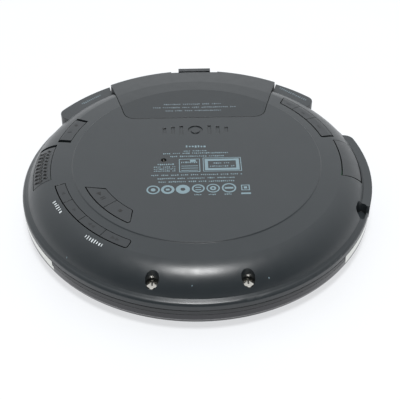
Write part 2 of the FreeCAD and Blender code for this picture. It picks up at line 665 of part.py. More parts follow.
for side in (-1, 1):
    middle = s.ear_middle * side
    span = (middle - s.ear_width * 0.5, middle + s.ear_width * 0.5)
    ears.append(rod("ear_%d" % side, s.hinge_radius, s.ear_width, span[0], s.hinge_rear,
                    s.hinge_height, (1, 0, 0)))
    ears.append(box("ear_web_%d" % side, span,
                    (s.hinge_rear - 2.6, s.hinge_rear - 1.3),
                    (s.hinge_height - s.hinge_radius - 1.1, s.hinge_height)))
ear_holes = [rod("ear_hole", s.pin_radius + s.run_gap, s.ear_middle * 2 + 14.0,
                 -(s.ear_middle + 7.0), s.hinge_rear, s.hinge_height, (1, 0, 0))]
frame_notched = cut("frame_notched", frame_turned, [hinge_notch])
keep("lid_frame", cut("lid_frame", fused("lid_frame_solid", [frame_notched] + ears), ear_holes))

keep("lid_window", turned("lid_window", [
    (0.0, 0.0), (s.window_radius, 0.0), (s.window_radius, s.window_wall),
    (0.0, s.window_wall)]))
keep("front_lip", ring_piece("front_lip", s.case_radius - s.rim_wall + 0.05, s.case_radius,
                             s.lip_strip_start + 0.25, s.lip_strip_end - 0.25,
                             s.lip_strip_low + 0.15, s.lid_height - 0.1))
hook_angle = (s.open_start + s.open_end) * 0.5
keep("latch_hook", fused("latch_hook", [
    ring_piece("hook_stem", shell_in - 2.1, shell_in - 1.3, hook_angle - 3.0,
               hook_angle + 3.0, s.lid_height - 2.4, s.parting + 3.2),
    ring_piece("hook_foot", shell_in - 1.5, shell_in - 0.05, hook_angle - 3.0,
               hook_angle + 3.0, s.lid_height - 2.4, s.lid_height - 0.8),
    ring_piece("hook_nose", shell_in - 2.1, shell_in - 1.3, hook_angle + 2.9,
               hook_angle + 4.1, s.parting + 2.3, s.parting + 3.2)]))
pads = []
for count in range(3):
    px, py = polar(s.window_radius - 14.0, 30.0 + 120.0 * count)
    pads.append(rod("pad_%d" % count, s.pad_radius, s.pad_height, px, py, s.window_wall))
keep("lid_pads", fused("lid_pads", pads))

hinge_pins = []
pin_length = s.ear_width + s.lug_width * 2 + s.hinge_gap * 2
for side in (-1, 1):
    hinge_pins.append(rod("hinge_pin_%d" % side, s.pin_radius, pin_length,
                          s.ear_middle * side - pin_length * 0.5, s.hinge_rear, s.hinge_height,
                          (1, 0, 0)))
keep("hinge_pins", fused("hinge_pins", hinge_pins))


# The deck: the floor that the disc turns over, and the skirt round it

well = s.well_radius
skirt_out = well + s.skirt_wall
deck_top = s.deck_bottom + s.deck_wall
deck_turned = turned("deck_turned", [
    (0.0, s.deck_bottom), (skirt_out, s.deck_bottom), (skirt_out, s.parting),
    (s.case_radius - s.case_wall - s.gap, s.parting),
    (s.case_radius - s.case_wall - s.gap, s.parting + 1.2), (well, s.parting + 1.2),
    (well, deck_top), (0.0, deck_top)])
tray_half = (s.cell_length + s.cell_spare) * 0.5 + s.tray_wall
tray_rear = s.tray_front + s.cell_radius * 4 + s.tray_wall * 2
jack_floor = s.jack_height - s.jack_size * 0.5
board_posts = ((-40.0, -25.0), (42.0, -20.0), (-46.0, 12.0), (45.0, 10.0))
damper_posts = ((-19.0, -42.0), (-19.0, 15.0), (31.0, 8.0))
deck_posts = [rod("board_post_%d" % n, 2.2, s.board_bottom - s.deck_bottom - s.deck_wall,
                  px, py, deck_top) for n, (px, py) in enumerate(board_posts)]
deck_posts += [rod("deck_screw_post_%d" % n, 2.0, 3.2, px, py, deck_top)
               for n, (px, py) in enumerate(screw_places)]
deck_tools = [
    box("tray_room", (-(tray_half + s.gap), tray_half + s.gap),
        (s.tray_front - s.gap, tray_rear + s.gap), (s.deck_bottom - 1.0, deck_top + 20.0)),
    rod("turntable_room", s.turntable_radius + 2.0, 4.0, 0.0, 0.0, s.deck_bottom - 1.0),
    box("sled_window", (-9.5, 9.5), (-60.4, 0.0), (s.deck_bottom - 1.0, deck_top + 1.0)),
    ring_piece("jack_room_left", well - 1.0, 80.0, 119.0, 146.0, jack_floor - 0.2,
               s.parting + 2.0),
    ring_piece("jack_room_right", well - 1.0, 80.0, 41.0, 59.0, jack_floor - 0.2,
               s.parting + 2.0),
    ring_piece("strap_room", s.strap_inner - s.case_wall - 0.2, 80.0, s.strap_start - 3.0,
               s.strap_end + 3.0, s.parting - 0.1, s.parting + 2.0),
    ring_piece("hook_room", skirt_out + 0.2, 80.0, hook_angle - 5.0, hook_angle + 5.0,
               s.parting - 0.5, s.parting + 2.0)]
for side in (-1, 1):
    middle = s.ear_middle * side
    reach = s.ear_width * 0.5 + s.lug_width + s.hinge_gap * 2
    deck_tools.append(box("hinge_room_%d" % side, (middle - reach, middle + reach),
                          (skirt_out + 0.2 - 1.4, 80.0), (s.parting - 0.2, s.parting + 2.0)))
for n, (px, py) in enumerate(screw_places):
    deck_tools.append(rod("deck_screw_hole_%d" % n, s.shank_radius + s.run_gap, 6.0, px, py,
                          s.screw_tip - 0.8))
    deck_tools.append(rod("deck_boss_room_%d" % n, s.boss_radius + 0.2, 6.0, px, py,
                          s.parting - 0.1))
for n, (px, py) in enumerate(board_posts):
    deck_tools.append(rod("board_pilot_%d" % n, 0.75, 4.0, px, py, s.board_bottom - 4.0))
for n, (px, py) in enumerate(damper_posts):
    deck_tools.append(rod("damper_pilot_%d" % n, 0.75, 4.0, px, py, s.deck_bottom - 1.0))
switch_x, switch_y = polar(57.0, -38.0)
deck_tools.append(rod("plunger_room", 1.3, 4.0, switch_x, switch_y, s.deck_bottom - 1.0))
keep("deck", cut("deck", fused("deck_solid", [deck_turned] + deck_posts), deck_tools))


# The battery bay

tray_outer = box("tray_outer", (-tray_half, tray_half), (s.tray_front, tray_rear),
                 (s.deck_bottom, s.tray_top))
tray_inner = box("tray_inner", (-tray_half + s.tray_wall, tray_half - s.tray_wall),
                 (s.tray_front + s.tray_wall, tray_rear - s.tray_wall),
                 (s.deck_bottom + s.tray_floor, s.tray_top + 1.0))
hook_slots = [box("hook_slot_%d" % side,
                  (s.door_half_width * 0.55 * side - 4.5, s.door_half_width * 0.55 * side + 4.5),
                  (s.tray_front - 1.0, s.tray_front + s.tray_wall + 0.5),
                  (s.tray_top - 1.6, s.tray_top + 1.0)) for side in (-1, 1)]
tray_round = cut("tray_round", rod("tray_round_out", 90.0, 20.0, 0.0, 0.0, -9.0),
                 [rod("tray_round_in", well - s.gap, 30.0, 0.0, 0.0, -10.0)])
tray_low = shared("tray_low", tray_round, box("tray_low_room", (-60.0, 60.0), (0.0, 90.0),
                                              (0.0, s.parting + 1.5)))
keep("battery_tray", cut("battery_tray", tray_outer, [tray_inner, tray_low] + hook_slots))

cell_low_y = s.tray_front + s.tray_wall + s.cell_radius
cell_z = s.deck_bottom + s.tray_floor + 0.1 + s.cell_radius
coils = []
plates = []
for row_number in range(2):
    cell_y = cell_low_y + s.cell_radius * 2 * row_number
    side = 1 if row_number else -1
    wall_x = (tray_half - s.tray_wall) * side
    for turn_number in range(2):
        coil_x = wall_x - (0.55 + 0.62 * turn_number) * side
        torus = doc.addObject("Part::Torus", "coil_%d_%d" % (row_number, turn_number))
        torus.Radius1 = 3.4 - turn_number * 0.9
        torus.Radius2 = 0.32
        coils.append(place(torus, coil_x, cell_y, cell_z, (1, 0, 0)))
    spine = (wall_x - 1.5 * side, wall_x - 0.3 * side)
    low_x, high_x = spine if side > 0 else spine[::-1]
    coils.append(box("coil_spine_%d" % row_number, (low_x, high_x),
                     (cell_y + 2.2, cell_y + 3.5), (cell_z - 0.3, cell_z + 0.3)))
    far_x = -wall_x
    low_x, high_x = (far_x - 0.35, far_x - 0.05) if side < 0 else (far_x + 0.05, far_x + 0.35)
    plates.append(box("plus_plate_%d" % row_number, (low_x, high_x),
                      (cell_y - 4.0, cell_y + 4.0), (cell_z - 4.0, cell_z + 4.0)))
    low_x, high_x = (wall_x - 0.2, wall_x - 0.05) if side > 0 else (wall_x + 0.05, wall_x + 0.2)
    plates.append(box("minus_plate_%d" % row_number, (low_x, high_x),
                      (cell_y - 4.0, cell_y + 4.0), (cell_z - 4.0, cell_z + 4.0)))
keep("battery_springs", fused("battery_springs", coils))
keep("battery_contacts", fused("battery_contacts", plates))


# Sockets in the rear blocks

def socket(name, angle, bore, pin=None):
    """A socket body that points straight out through the rim."""
    turn = FreeCAD.Rotation(FreeCAD.Vector(0, 0, 1), number(angle))
    length = s.block_radius - s.case_wall - s.gap - s.jack_back
    body = doc.addObject("Part::Box", name + "_body")
    for prop, size in (("Length", length), ("Width", s.jack_width), ("Height", s.jack_size)):
        bind(body, prop, size)
    bx, by = polar(s.jack_back, angle)
    ox, oy = polar(s.jack_width * 0.5, angle - 90.0)
    body.Placement = FreeCAD.Placement(FreeCAD.Vector(), turn)
    for axis, size in (("x", bx + ox), ("y", by + oy), ("z", s.jack_height - s.jack_size * 0.5)):
        bind(body, "Placement.Base." + axis, size)
    nx, ny = polar(s.block_radius - s.case_wall - s.gap - 1.0, angle)
    nose = rod(name + "_nose", s.jack_nose, s.case_wall + s.gap + 0.8, nx, ny, s.jack_height,
               radial(angle))
    hx, hy = polar(s.jack_back + 1.0, angle)
    hole = rod(name + "_bore", bore, 20.0, hx, hy, s.jack_height, radial(angle))
    whole = cut(name + "_bored", fused(name + "_solid", [body, nose]), [hole])
    if pin is None:
        return keep(name, whole)
    needle = rod(name + "_needle", pin, 9.0, hx, hy, s.jack_height, radial(angle))
    return keep(name, fused(name, [whole, needle]))


socket("headphone_jack", s.phones_angle, s.jack_bore)
socket("line_out_jack", s.line_angle, s.jack_bore)
socket("dc_socket", s.dc_angle, s.dc_bore, s.dc_pin)


# Main board, its chips, screws and the key mats

board_disc = rod("board_disc", s.board_radius, s.board_wall, 0.0, 0.0, s.board_bottom)
board_tools = [box("board_rear_room", (-90.0, 90.0), (s.board_rear, 90.0), (0.0, 40.0)),
               rod("board_pin_hole", s.pin_screw_radius, 6.0, s.pin_screw_x, s.pin_screw_y, 15.0)]
for n, (px, py) in enumerate(board_posts):
    board_tools.append(rod("board_hole_%d" % n, 1.1, 6.0, px, py, 15.0))
for n, (px, py) in enumerate(screw_places):
    board_tools.append(rod("board_boss_room_%d" % n, s.boss_radius + 0.4, 6.0, px, py, 15.0))
keep("main_board", cut("main_board", board_disc, board_tools))
board_top = s.board_bottom + s.board_wall
chips = [box("chip_%d" % n, (cx, cx + w), (cy, cy + d), (board_top, board_top + 1.3))
         for n, (cx, cy, w, d) in enumerate(((2.0, -8.0, 12.0, 12.0), (22.0, 2.0, 9.0, 7.0),
                                             (-8.0, -34.0, 8.0, 10.0), (20.0, -26.0, 6.0, 6.0),
                                             (-30.0, 4.0, 5.0, 8.0), (12.0, -46.0, 6.0, 4.0),
                                             (-26.0, -12.0, 4.0, 4.0)))]
keep("board_chips", fused("board_chips", chips))

mat_low = board_top + 0.05


def mat(name, inner, outer, start, end, domes):
    """A rubber sheet with one dome under each key."""
    sheet_piece = ring_piece(name + "_sheet", inner, outer, start, end, mat_low,
                             mat_low + s.mat_wall)
    bumps = []
    for n, (radius, angle) in enumerate(domes):
        dx, dy = polar(radius, angle)
        bumps.append(rod(name + "_dome_%d" % n, s.dome_radius, s.dome_height, dx, dy, mat_low))
    holes = [rod(name + "_hole_%d" % n, 2.6, 4.0, px, py, mat_low - 1.0)
             for n, (px, py) in enumerate(board_posts)]
    return keep(name, cut(name, fused(name + "_solid", [sheet_piece] + bumps), holes))


strip_middle = (s.strip_inner + s.strip_outer) * 0.5
pair_middle = (s.pair_inner + s.pair_outer) * 0.5
side_middle = (s.side_inner + s.side_outer) * 0.5
strip_domes = [(strip_middle, s.strip_first + s.strip_step * (n - 0.5)) for n in range(4)]
pair_domes = [(pair_middle, (s.pair_start_in + s.pair_split) * 0.5 - 1.0),
              (pair_middle, (s.pair_split + s.pair_end_in) * 0.5 + 1.0)]
side_domes = [(side_middle, (s.side_start + s.side_first) * 0.5),
              (side_middle, (s.side_first + s.side_second) * 0.5),
              (side_middle, (s.side_second + s.side_end) * 0.5)]
mat("key_mat_left", s.pair_inner - 1.0, s.board_radius - 1.0, s.strip_start - 1.0,
    strip_end + 1.0, strip_domes + pair_domes)
mat("key_mat_right", s.side_inner - 2.0, s.board_radius + 0.4, s.side_start - 1.0,
    s.side_end + 1.0, side_domes)


def small_screws(name, places, seat, shank, length, head=1.7, height=0.9):
    """Pan-head screws with their heads on a seat, pointing down."""
    pieces = []
    for n, (px, py) in enumerate(places):
        pieces.append(rod("%s_head_%d" % (name, n), head, height, px, py, seat))
        pieces.append(rod("%s_shank_%d" % (name, n), shank, length, px, py, seat - length))
    return keep(name, fused(name, pieces))


small_screws("board_screws", board_posts, board_top, 0.72, s.board_wall + 2.8)


# Case screws: a domed head with a cross in it

def cross_screw(name, px, py, seat, head, height, shank, tip):
    """A sunk screw: a rounded head with a cross recess on a plain shank."""
    edge = height * 0.45
    body = turned(name + "_turned", [
        (0.0, tip), (shank, tip), (shank, seat), (head, seat), (head, seat + edge),
        (0.0, seat + height, head * 2.6)])
    place(body, px, py, 0.0)
    slots = []
    for n, (wide, deep) in enumerate(((head * 1.25, head * 0.26), (head * 0.26, head * 1.25))):
        slots.append(box("%s_slot_%d" % (name, n), (px - wide * 0.5, px + wide * 0.5),
                         (py - deep * 0.5, py + deep * 0.5),
                         (seat + height * 0.4, seat + height + 1.0)))
    return cut(name, body, slots)


case_screws = [cross_screw("case_screw_%d" % n, px, py, s.screw_seat, s.head_radius,
                           s.head_height, s.shank_radius, s.screw_tip)
               for n, (px, py) in enumerate(screw_places)]
keep("case_screws", fused("case_screws", case_screws))
keep("middle_screw", cross_screw("middle_screw", s.pin_screw_x, s.pin_screw_y,
                                 s.case_top - 1.5, s.pin_screw_radius, 0.9, 0.6,
                                 s.board_bottom - 0.6))


# Drive: plate on rubber dampers, spindle motor and turntable

plate_top = s.plate_bottom + s.plate_wall
plate_square = box("plate_square", (-23.0, 38.0), (-56.6, 21.0), (s.plate_bottom, plate_top))
plate_disc = rod("plate_disc", well - 1.0, s.plate_wall, 0.0, 0.0, s.plate_bottom)
mesh_x = s.rack_pitch_line + s.tooth_module * s.feed_teeth * 0.5
pinion_reach = s.wheel_module * (s.wheel_teeth + s.pinion_teeth) * 0.5
pinion_dx, pinion_dy = polar(pinion_reach, s.pinion_angle)
pinion_x = mesh_x + pinion_dx
pinion_y = s.mesh_y + pinion_dy
plate_tools = [box("plate_slot", (-8.5, 8.5), (-70.0, -12.0), (0.0, 20.0)),
               rod("plate_motor_hole", 4.2, 4.0, 0.0, 0.0, s.plate_bottom - 1.0),
               rod("plate_axle_hole", s.axle_radius, 4.0, mesh_x, s.mesh_y, s.plate_bottom - 1.0)]
for n, (px, py) in enumerate(damper_posts):
    plate_tools.append(rod("plate_damper_hole_%d" % n, 1.2, 4.0, px, py, s.plate_bottom - 1.0))
keep("drive_plate", cut("drive_plate", shared("plate_blank", plate_square, plate_disc),
                        plate_tools))
dampers = []
for n, (px, py) in enumerate(damper_posts):
    dampers.append(cut("damper_%d" % n, rod("damper_out_%d" % n, 3.0,
                                            s.plate_bottom - s.deck_bottom - s.deck_wall,
                                            px, py, deck_top),
                       [rod("damper_in_%d" % n, 1.0, 4.0, px, py, s.deck_bottom)]))
keep("rubber_dampers", fused("rubber_dampers", dampers))
small_screws("drive_screws", damper_posts, plate_top, 0.72, 3.4)

keep("spindle_motor", turned("spindle_motor", [
    (s.shaft_radius + s.run_gap, plate_top - 2.0), (4.0, plate_top - 2.0), (4.0, plate_top),
    (s.motor_radius, plate_top), (s.motor_radius, s.motor_top),
    (s.shaft_radius + s.run_gap, s.motor_top)]))
keep("spindle_shaft", rod("spindle_shaft", s.shaft_radius, s.motor_top - s.hub_tip - 0.6,
                          0.0, 0.0, s.hub_tip + 0.5))
hub_turned = turned("hub_turned", [
    (s.shaft_radius, s.hub_tip), (s.hub_radius - 1.4, s.hub_tip), (s.hub_radius, s.hub_tip + 1.0),
    (s.hub_radius, s.disc_seat), (s.turntable_radius, s.disc_seat),
    (s.turntable_radius, s.disc_seat + s.turntable_wall), (2.6, s.disc_seat + s.turntable_wall),
    (2.6, plate_top - 2.4), (s.shaft_radius, plate_top - 2.4)])
pockets = []
balls = []
for n in range(3):
    angle = 90.0 + 120.0 * n
    px, py = polar(s.ball_place - s.ball_radius - 0.4, angle)
    ball_z = s.disc_seat - s.ball_radius + 0.1
    pockets.append(rod("ball_pocket_%d" % n, s.ball_radius + 0.08, 6.0, px, py, ball_z,
                       radial(angle)))
    px, py = polar(s.ball_place, angle)
    balls.append(ball("hub_ball_%d" % n, s.ball_radius, px, py, ball_z))
keep("turntable", cut("turntable", hub_turned, pockets))
keep("hub_balls", fused("hub_balls", balls))


# Drive: the sled with the lens, its rod, rack, gears and motor

rod_length = s.rod_front - s.rod_rear
keep("guide_rod", rod("guide_rod", s.rod_radius, rod_length, s.rod_x, -s.rod_front,
                      s.rod_height, (0, 1, 0)))
rod_blocks = []
for n, end_y in enumerate((-s.rod_front, -s.rod_rear - 2.0)):
    solid = box("rod_block_%d" % n, (s.rod_x - 1.7, s.rod_x + 1.7), (end_y, end_y + 2.0),
                (plate_top, s.rod_height + 1.8))
    rod_blocks.append(cut("rod_block_cut_%d" % n, solid,
                          [rod("rod_block_hole_%d" % n, s.rod_radius + 0.02, 10.0, s.rod_x,
                               end_y - 4.0, s.rod_height, (0, 1, 0))]))
keep("rod_holders", fused("rod_holders", rod_blocks))

pitch = s.tooth_module * math.pi
tooth_up = s.tooth_module * 0.85
tooth_down = s.tooth_module * 1.1
rack_root = s.rack_pitch_line - tooth_down
rack_tip = s.rack_pitch_line + tooth_up


def rack_tooth(n):
    """One tooth of the rack, a whole number of pitches from the point of mesh."""
    middle = s.mesh_y + pitch * n
    foot_half = s.tooth_module * 0.95
    tip_half = s.tooth_module * 0.3
    return padded("rack_tooth_%d" % n, [
        (rack_root - 0.2, middle - foot_half), (rack_tip, middle - tip_half),
        (rack_tip, middle + tip_half), (rack_root - 0.2, middle + foot_half)],
        s.sled_bottom, s.rack_top)


sled_pieces = [
    box("sled_block", (-s.sled_half, s.sled_half), (-(s.lens_start + s.sled_front), -s.sled_rear),
        (s.sled_bottom, s.sled_top)),
    box("sled_bearing", (s.rod_x - 2.4, -s.sled_half + 1.0), (-s.sled_rear - 9.0, -s.sled_rear),
        (s.sled_bottom + 0.2, s.sled_top)),
    box("sled_arm", (s.sled_half - 1.0, rack_root), (-s.sled_rear - 9.0, -s.sled_rear),
        (s.sled_bottom, s.rack_top)),
    box("rack_bar", (rack_root - 1.2, rack_root), (-s.rack_front, s.rack_rear),
        (s.sled_bottom, s.rack_top))]
sled_pieces += [rack_tooth(n) for n in range(0, 12)]
sled_tools = [
    rod("sled_rod_hole", s.rod_radius + s.run_gap, 30.0, s.rod_x, -s.lens_start - 10.0,
        s.rod_height, (0, 1, 0)),
    rod("sled_lens_room", 3.6, 3.0, 0.0, -s.lens_start, s.sled_bottom - 1.0)]
keep("sled", cut("sled", fused("sled_solid", sled_pieces), sled_tools))
holder_low = s.plate_bottom - 1.2
holder = cut("lens_holder", rod("holder_out", 3.5, s.sled_bottom + 2.0 - holder_low, 0.0,
                                -s.lens_start, holder_low),
             [rod("holder_in", s.lens_radius + 0.02, 1.4, 0.0, -s.lens_start, holder_low - 0.1),
              rod("holder_light", 1.5, 9.0, 0.0, -s.lens_start, holder_low - 0.1)])
keep("lens_holder", holder)
lens_top = holder_low + 1.3
keep("lens", turned("lens_turned", [
    (0.0, holder_low - 0.1), (s.lens_radius, holder_low + 0.5, -4.0 * s.lens_radius),
    (s.lens_radius, lens_top), (0.0, lens_top)]))
place(parts["lens"], 0.0, -s.lens_start, 0.0)


def gear(name, module, teeth, low, high, phase, bore):
    """A plain gear: a root disc and one tooth, patterned round the axis."""
    root_radius = module * (teeth * 0.5 - 1.1)
    tip_radius = module * (teeth * 0.5 + 0.85)
    body = doc.addObject("PartDesign::Body", name)
    plane = [p for p in body.Origin.OriginFeatures if p.Role == "XY_Plane"][0]
    axis = [p for p in body.Origin.OriginFeatures if p.Role == "Z_Axis"][0]
    disc = body.newObject("Sketcher::SketchObject", name + "_disc")
    disc.AttachmentSupport = [(plane, "")]
    disc.MapMode = "FlatFace"
    bind(disc, "AttachmentOffset.Base.z", low)
    for radius in (root_radius, bore):
        ring = disc.addGeometry(Part.Circle(FreeCAD.Vector(), FreeCAD.Vector(0, 0, 1),
                                            number(radius)), False)
        disc.addConstraint(Sketcher.Constraint("Coincident", ring, 3, -1, 1))
        at = disc.addConstraint(Sketcher.Constraint("Radius", ring, number(radius)))
        disc.setExpression("Constraints[%d]" % at, words(radius))
    blank = body.newObject("PartDesign::Pad", name + "_blank")
    blank.Profile = disc
    bind(blank, "Length", high - low)
    foot_turn = module * 0.85 / root_radius * TURN
    tip_turn = module * 0.3 / tip_radius * TURN
    inside = root_radius - module * 0.3
    tooth = sketch_on(body, "XY_Plane", [
        polar(inside, phase - foot_turn), polar(tip_radius, phase - tip_turn),
        polar(tip_radius, phase + tip_turn), polar(inside, phase + foot_turn)], low)
    ridge = body.newObject("PartDesign::Pad", name + "_tooth")
    ridge.Profile = tooth
    bind(ridge, "Length", high - low)
    doc.recompute()
    round_all = body.newObject("PartDesign::PolarPattern", name + "_teeth")
    round_all.Originals = [ridge]
    round_all.Axis = (axis, [""])
    round_all.Angle = 360
    bind(round_all, "Occurrences", teeth)
    body.Tip = round_all
    return body


bore = s.axle_radius + s.run_gap
feed_phase = 180.0 - 180.0 / s.feed_teeth
pinion_phase = s.pinion_angle + 180.0
wheel_phase = s.pinion_angle + 180.0 / s.wheel_teeth
small_gear = gear("small_gear", s.tooth_module, s.feed_teeth, s.sled_bottom + 0.1, s.rack_top,
                  feed_phase, bore)
big_gear = gear("big_gear", s.wheel_module, s.wheel_teeth, s.wheel_bottom,
                s.wheel_bottom + s.wheel_width, wheel_phase, bore)
place(small_gear, mesh_x, s.mesh_y, 0.0)
place(big_gear, mesh_x, s.mesh_y, 0.0)
sleeve = cut("gear_sleeve", rod("gear_sleeve_out", 2.4, s.wheel_bottom - s.rack_top + 0.4,
                                mesh_x, s.mesh_y, s.rack_top - 0.2),
             [rod("gear_sleeve_in", bore, 10.0, mesh_x, s.mesh_y, s.rack_top - 1.0)])
keep("feed_gear", fused("feed_gear", [small_gear, big_gear, sleeve]))
keep("feed_axle", rod("feed_axle", s.axle_radius, s.wheel_bottom + s.wheel_width + 0.5 - plate_top
                      + s.plate_wall, mesh_x, s.mesh_y, s.plate_bottom))
pinion = gear("motor_pinion", s.wheel_module, s.pinion_teeth, s.wheel_bottom - 0.1,
              s.wheel_bottom + s.wheel_width + 0.3, pinion_phase, 0.5 * s.axle_radius)
keep("motor_pinion", place(pinion, pinion_x, pinion_y, 0.0))
keep("feed_motor", rod("feed_motor", s.feed_motor_radius, s.wheel_bottom - 0.5 - plate_top,
                       pinion_x, pinion_y, plate_top))


# Lid switch with its plunger

keep("lid_switch", cut("lid_switch", box("lid_switch_box", (switch_x - 3.0, switch_x + 3.0),
                                         (switch_y - 3.0, switch_y + 3.0),
                                         (deck_top + 0.02, deck_top + 5.0)),
                       [rod("lid_switch_bore", 1.0, 3.6, switch_x, switch_y, deck_top - 0.1)]))
keep("switch_plunger", rod("switch_plunger", 0.9, 3.4, switch_x, switch_y,
                           s.deck_bottom - 0.9))


# Check and write

doc.recompute()
broken = [o.Label for o in doc.Objects if "Invalid" in o.State or "Error" in o.State]
if broken:
    raise RuntimeError("failed features: %s" % ", ".join(broken))
for name, thing in parts.items():
    if thing.Shape.isNull() or not thing.Shape.isValid() or not thing.Shape.Solids:
        raise RuntimeError("bad shape: %s" % name)
os.makedirs("parts", exist_ok=True)
for name, thing in parts.items():
    thing.Shape.exportStep("parts/%s.step" % name)
    print(name, len(thing.Shape.Solids), round(thing.Shape.Volume, 1))
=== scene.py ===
import json
import math

import bpy
import numpy as np
from mathutils import Matrix, Vector


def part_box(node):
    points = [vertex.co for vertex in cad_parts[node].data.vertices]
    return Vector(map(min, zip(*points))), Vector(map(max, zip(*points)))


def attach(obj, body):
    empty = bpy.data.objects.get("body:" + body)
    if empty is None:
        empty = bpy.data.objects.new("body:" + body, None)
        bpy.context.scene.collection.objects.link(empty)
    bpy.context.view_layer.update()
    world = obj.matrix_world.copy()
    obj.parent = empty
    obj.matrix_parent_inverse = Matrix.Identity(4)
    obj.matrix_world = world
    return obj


# A round portable disc player lying on its lid, underside up: charcoal moulded case with a battery
# door, two rows of keys, sliders at the rim and a glossy silver lid below.

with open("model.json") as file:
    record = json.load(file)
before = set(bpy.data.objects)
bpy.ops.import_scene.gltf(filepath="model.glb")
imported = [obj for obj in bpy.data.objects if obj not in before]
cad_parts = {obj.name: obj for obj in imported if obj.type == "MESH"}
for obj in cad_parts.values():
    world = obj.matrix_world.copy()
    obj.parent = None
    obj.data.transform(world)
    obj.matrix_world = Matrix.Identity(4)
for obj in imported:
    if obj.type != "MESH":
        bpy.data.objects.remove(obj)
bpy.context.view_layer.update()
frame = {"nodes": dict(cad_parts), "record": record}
MM = 0.001               # every size below is in millimetres unless it says otherwise
STRIP_FRONT = -42.6      # the front strip's ends, in y
EDGE_ROUND = 0.18        # how far a moulded edge is rounded in the shading
SEAM_SHADE_REACH = 1.0         # how far the painted shade reaches from a seam

# ---------------------------------------------------------------- materials


def linear(code):
    """An sRGB hex colour as linear red, green, blue and alpha."""
    parts = np.array([int(code[i:i + 2], 16) for i in (1, 3, 5)]) / 255.0
    low = parts / 12.92
    high = ((parts + 0.055) / 1.055) ** 2.4
    return tuple(np.where(parts <= 0.04045, low, high)) + (1.0,)


def per_metre(size_mm):
    """The texture scale whose pattern repeats about once in this many millimetres."""
    return 1.0 / (size_mm * MM)


def add(tree, kind, sockets=None, links=None, **settings):
    """Adds one node with its settings, its socket values and what is linked into it."""
    made = tree.nodes.new(kind)
    for name, value in settings.items():
        setattr(made, name, value)
    for key, value in (sockets or {}).items():
        made.inputs[key].default_value = value
    for key, source in (links or {}).items():
        tree.links.new(source, made.inputs[key])
    return made


def begin(name):
    """A new material: its tree, its shader joined to the output, and the piece's coordinates."""
    material = bpy.data.materials.new(name)
    material.use_nodes = True
    tree = material.node_tree
    tree.nodes.clear()
    shader = add(tree, "ShaderNodeBsdfPrincipled")
    add(tree, "ShaderNodeOutputMaterial", links={"Surface": shader.outputs["BSDF"]})
    place = add(tree, "ShaderNodeTexCoord").outputs["Object"]
    return material, tree, shader, place


def moulded(name, dark, light, rough, grain_mm=0.30, depth_mm=0.012, specular=0.5, rub_sheen_and_shade=0.0):
    """Injection-moulded plastic from a spark-eroded tool: even colour under a fine satin grain.

    The tool's real grain is about 0.08 mm, and is drawn coarser so that it shows. Handling
    polishes it a little in patches some millimetres wide, the last argument lightens the edges as
    wear with a painted highlight, and painted shade darkens the seams within a millimetre."""
    material, tree, shader, place = begin(name)
    cloud = add(tree, "ShaderNodeTexNoise", {"Scale": per_metre(9.0), "Detail": 3.0},
                {"Vector": place})
    colour = add(tree, "ShaderNodeMix", {6: linear(dark), 7: linear(light)},
                 {0: cloud.outputs["Fac"]}, data_type="RGBA")
    patch = add(tree, "ShaderNodeTexNoise", {"Scale": per_metre(3.5), "Detail": 2.0},
                {"Vector": place})
    gloss = add(tree, "ShaderNodeMapRange",
                {"From Min": 0.3, "From Max": 0.7, "To Min": rough - 0.03, "To Max": rough + 0.03},
                {"Value": patch.outputs["Fac"]})
    grain = add(tree, "ShaderNodeTexNoise",
                {"Scale": per_metre(grain_mm), "Detail": 2.0, "Roughness": 0.6},
                {"Vector": place})
    edge = add(tree, "ShaderNodeBevel", {"Radius": EDGE_ROUND * MM}, samples=4)
    relief = add(tree, "ShaderNodeBump", {"Strength": 0.6, "Distance": depth_mm * MM},
                 {"Height": grain.outputs["Fac"], "Normal": edge.outputs["Normal"]})
    base = colour.outputs[2]
    if rub_sheen_and_shade:
        # Edges are lightened towards a pale grey, partly as wear and partly as a painted
        # highlight; seams get painted shade
        edge_wear_and_sheen_colour, seam_shade_colour = linear("#6b7074"), linear("#060707")
        flat = add(tree, "ShaderNodeNewGeometry")
        turn = add(tree, "ShaderNodeVectorMath",
                   links={0: edge.outputs["Normal"], 1: flat.outputs["Normal"]},
                   operation="DOT_PRODUCT")
        wear_and_sheen = add(tree, "ShaderNodeMapRange",
                   {"From Min": 0.995, "From Max": 0.8, "To Min": 0.0, "To Max": rub_sheen_and_shade},
                   {"Value": turn.outputs["Value"]})
        base = add(tree, "ShaderNodeMix", {7: edge_wear_and_sheen_colour},
                   {0: wear_and_sheen.outputs["Result"], 6: base}, data_type="RGBA").outputs[2]
        # Painted shade: ambient occlusion darkens the seams towards near black within a millimetre
        open_air = add(tree, "ShaderNodeAmbientOcclusion", {"Distance": SEAM_SHADE_REACH * MM},
                       samples=6)
        unshaded_share = add(tree, "ShaderNodeMapRange",
                    {"From Min": 0.45, "From Max": 0.8, "To Min": 0.0, "To Max": 1.0},
                    {"Value": open_air.outputs["AO"]})
        base = add(tree, "ShaderNodeMix", {6: seam_shade_colour},
                   {0: unshaded_share.outputs["Result"], 7: base}, data_type="RGBA").outputs[2]
    tree.links.new(base, shader.inputs["Base Color"])
    tree.links.new(gloss.outputs["Result"], shader.inputs["Roughness"])
    tree.links.new(relief.outputs["Normal"], shader.inputs["Normal"])
    shader.inputs["IOR"].default_value = 1.53
    shader.inputs["Specular IOR Level"].default_value = specular
    return material


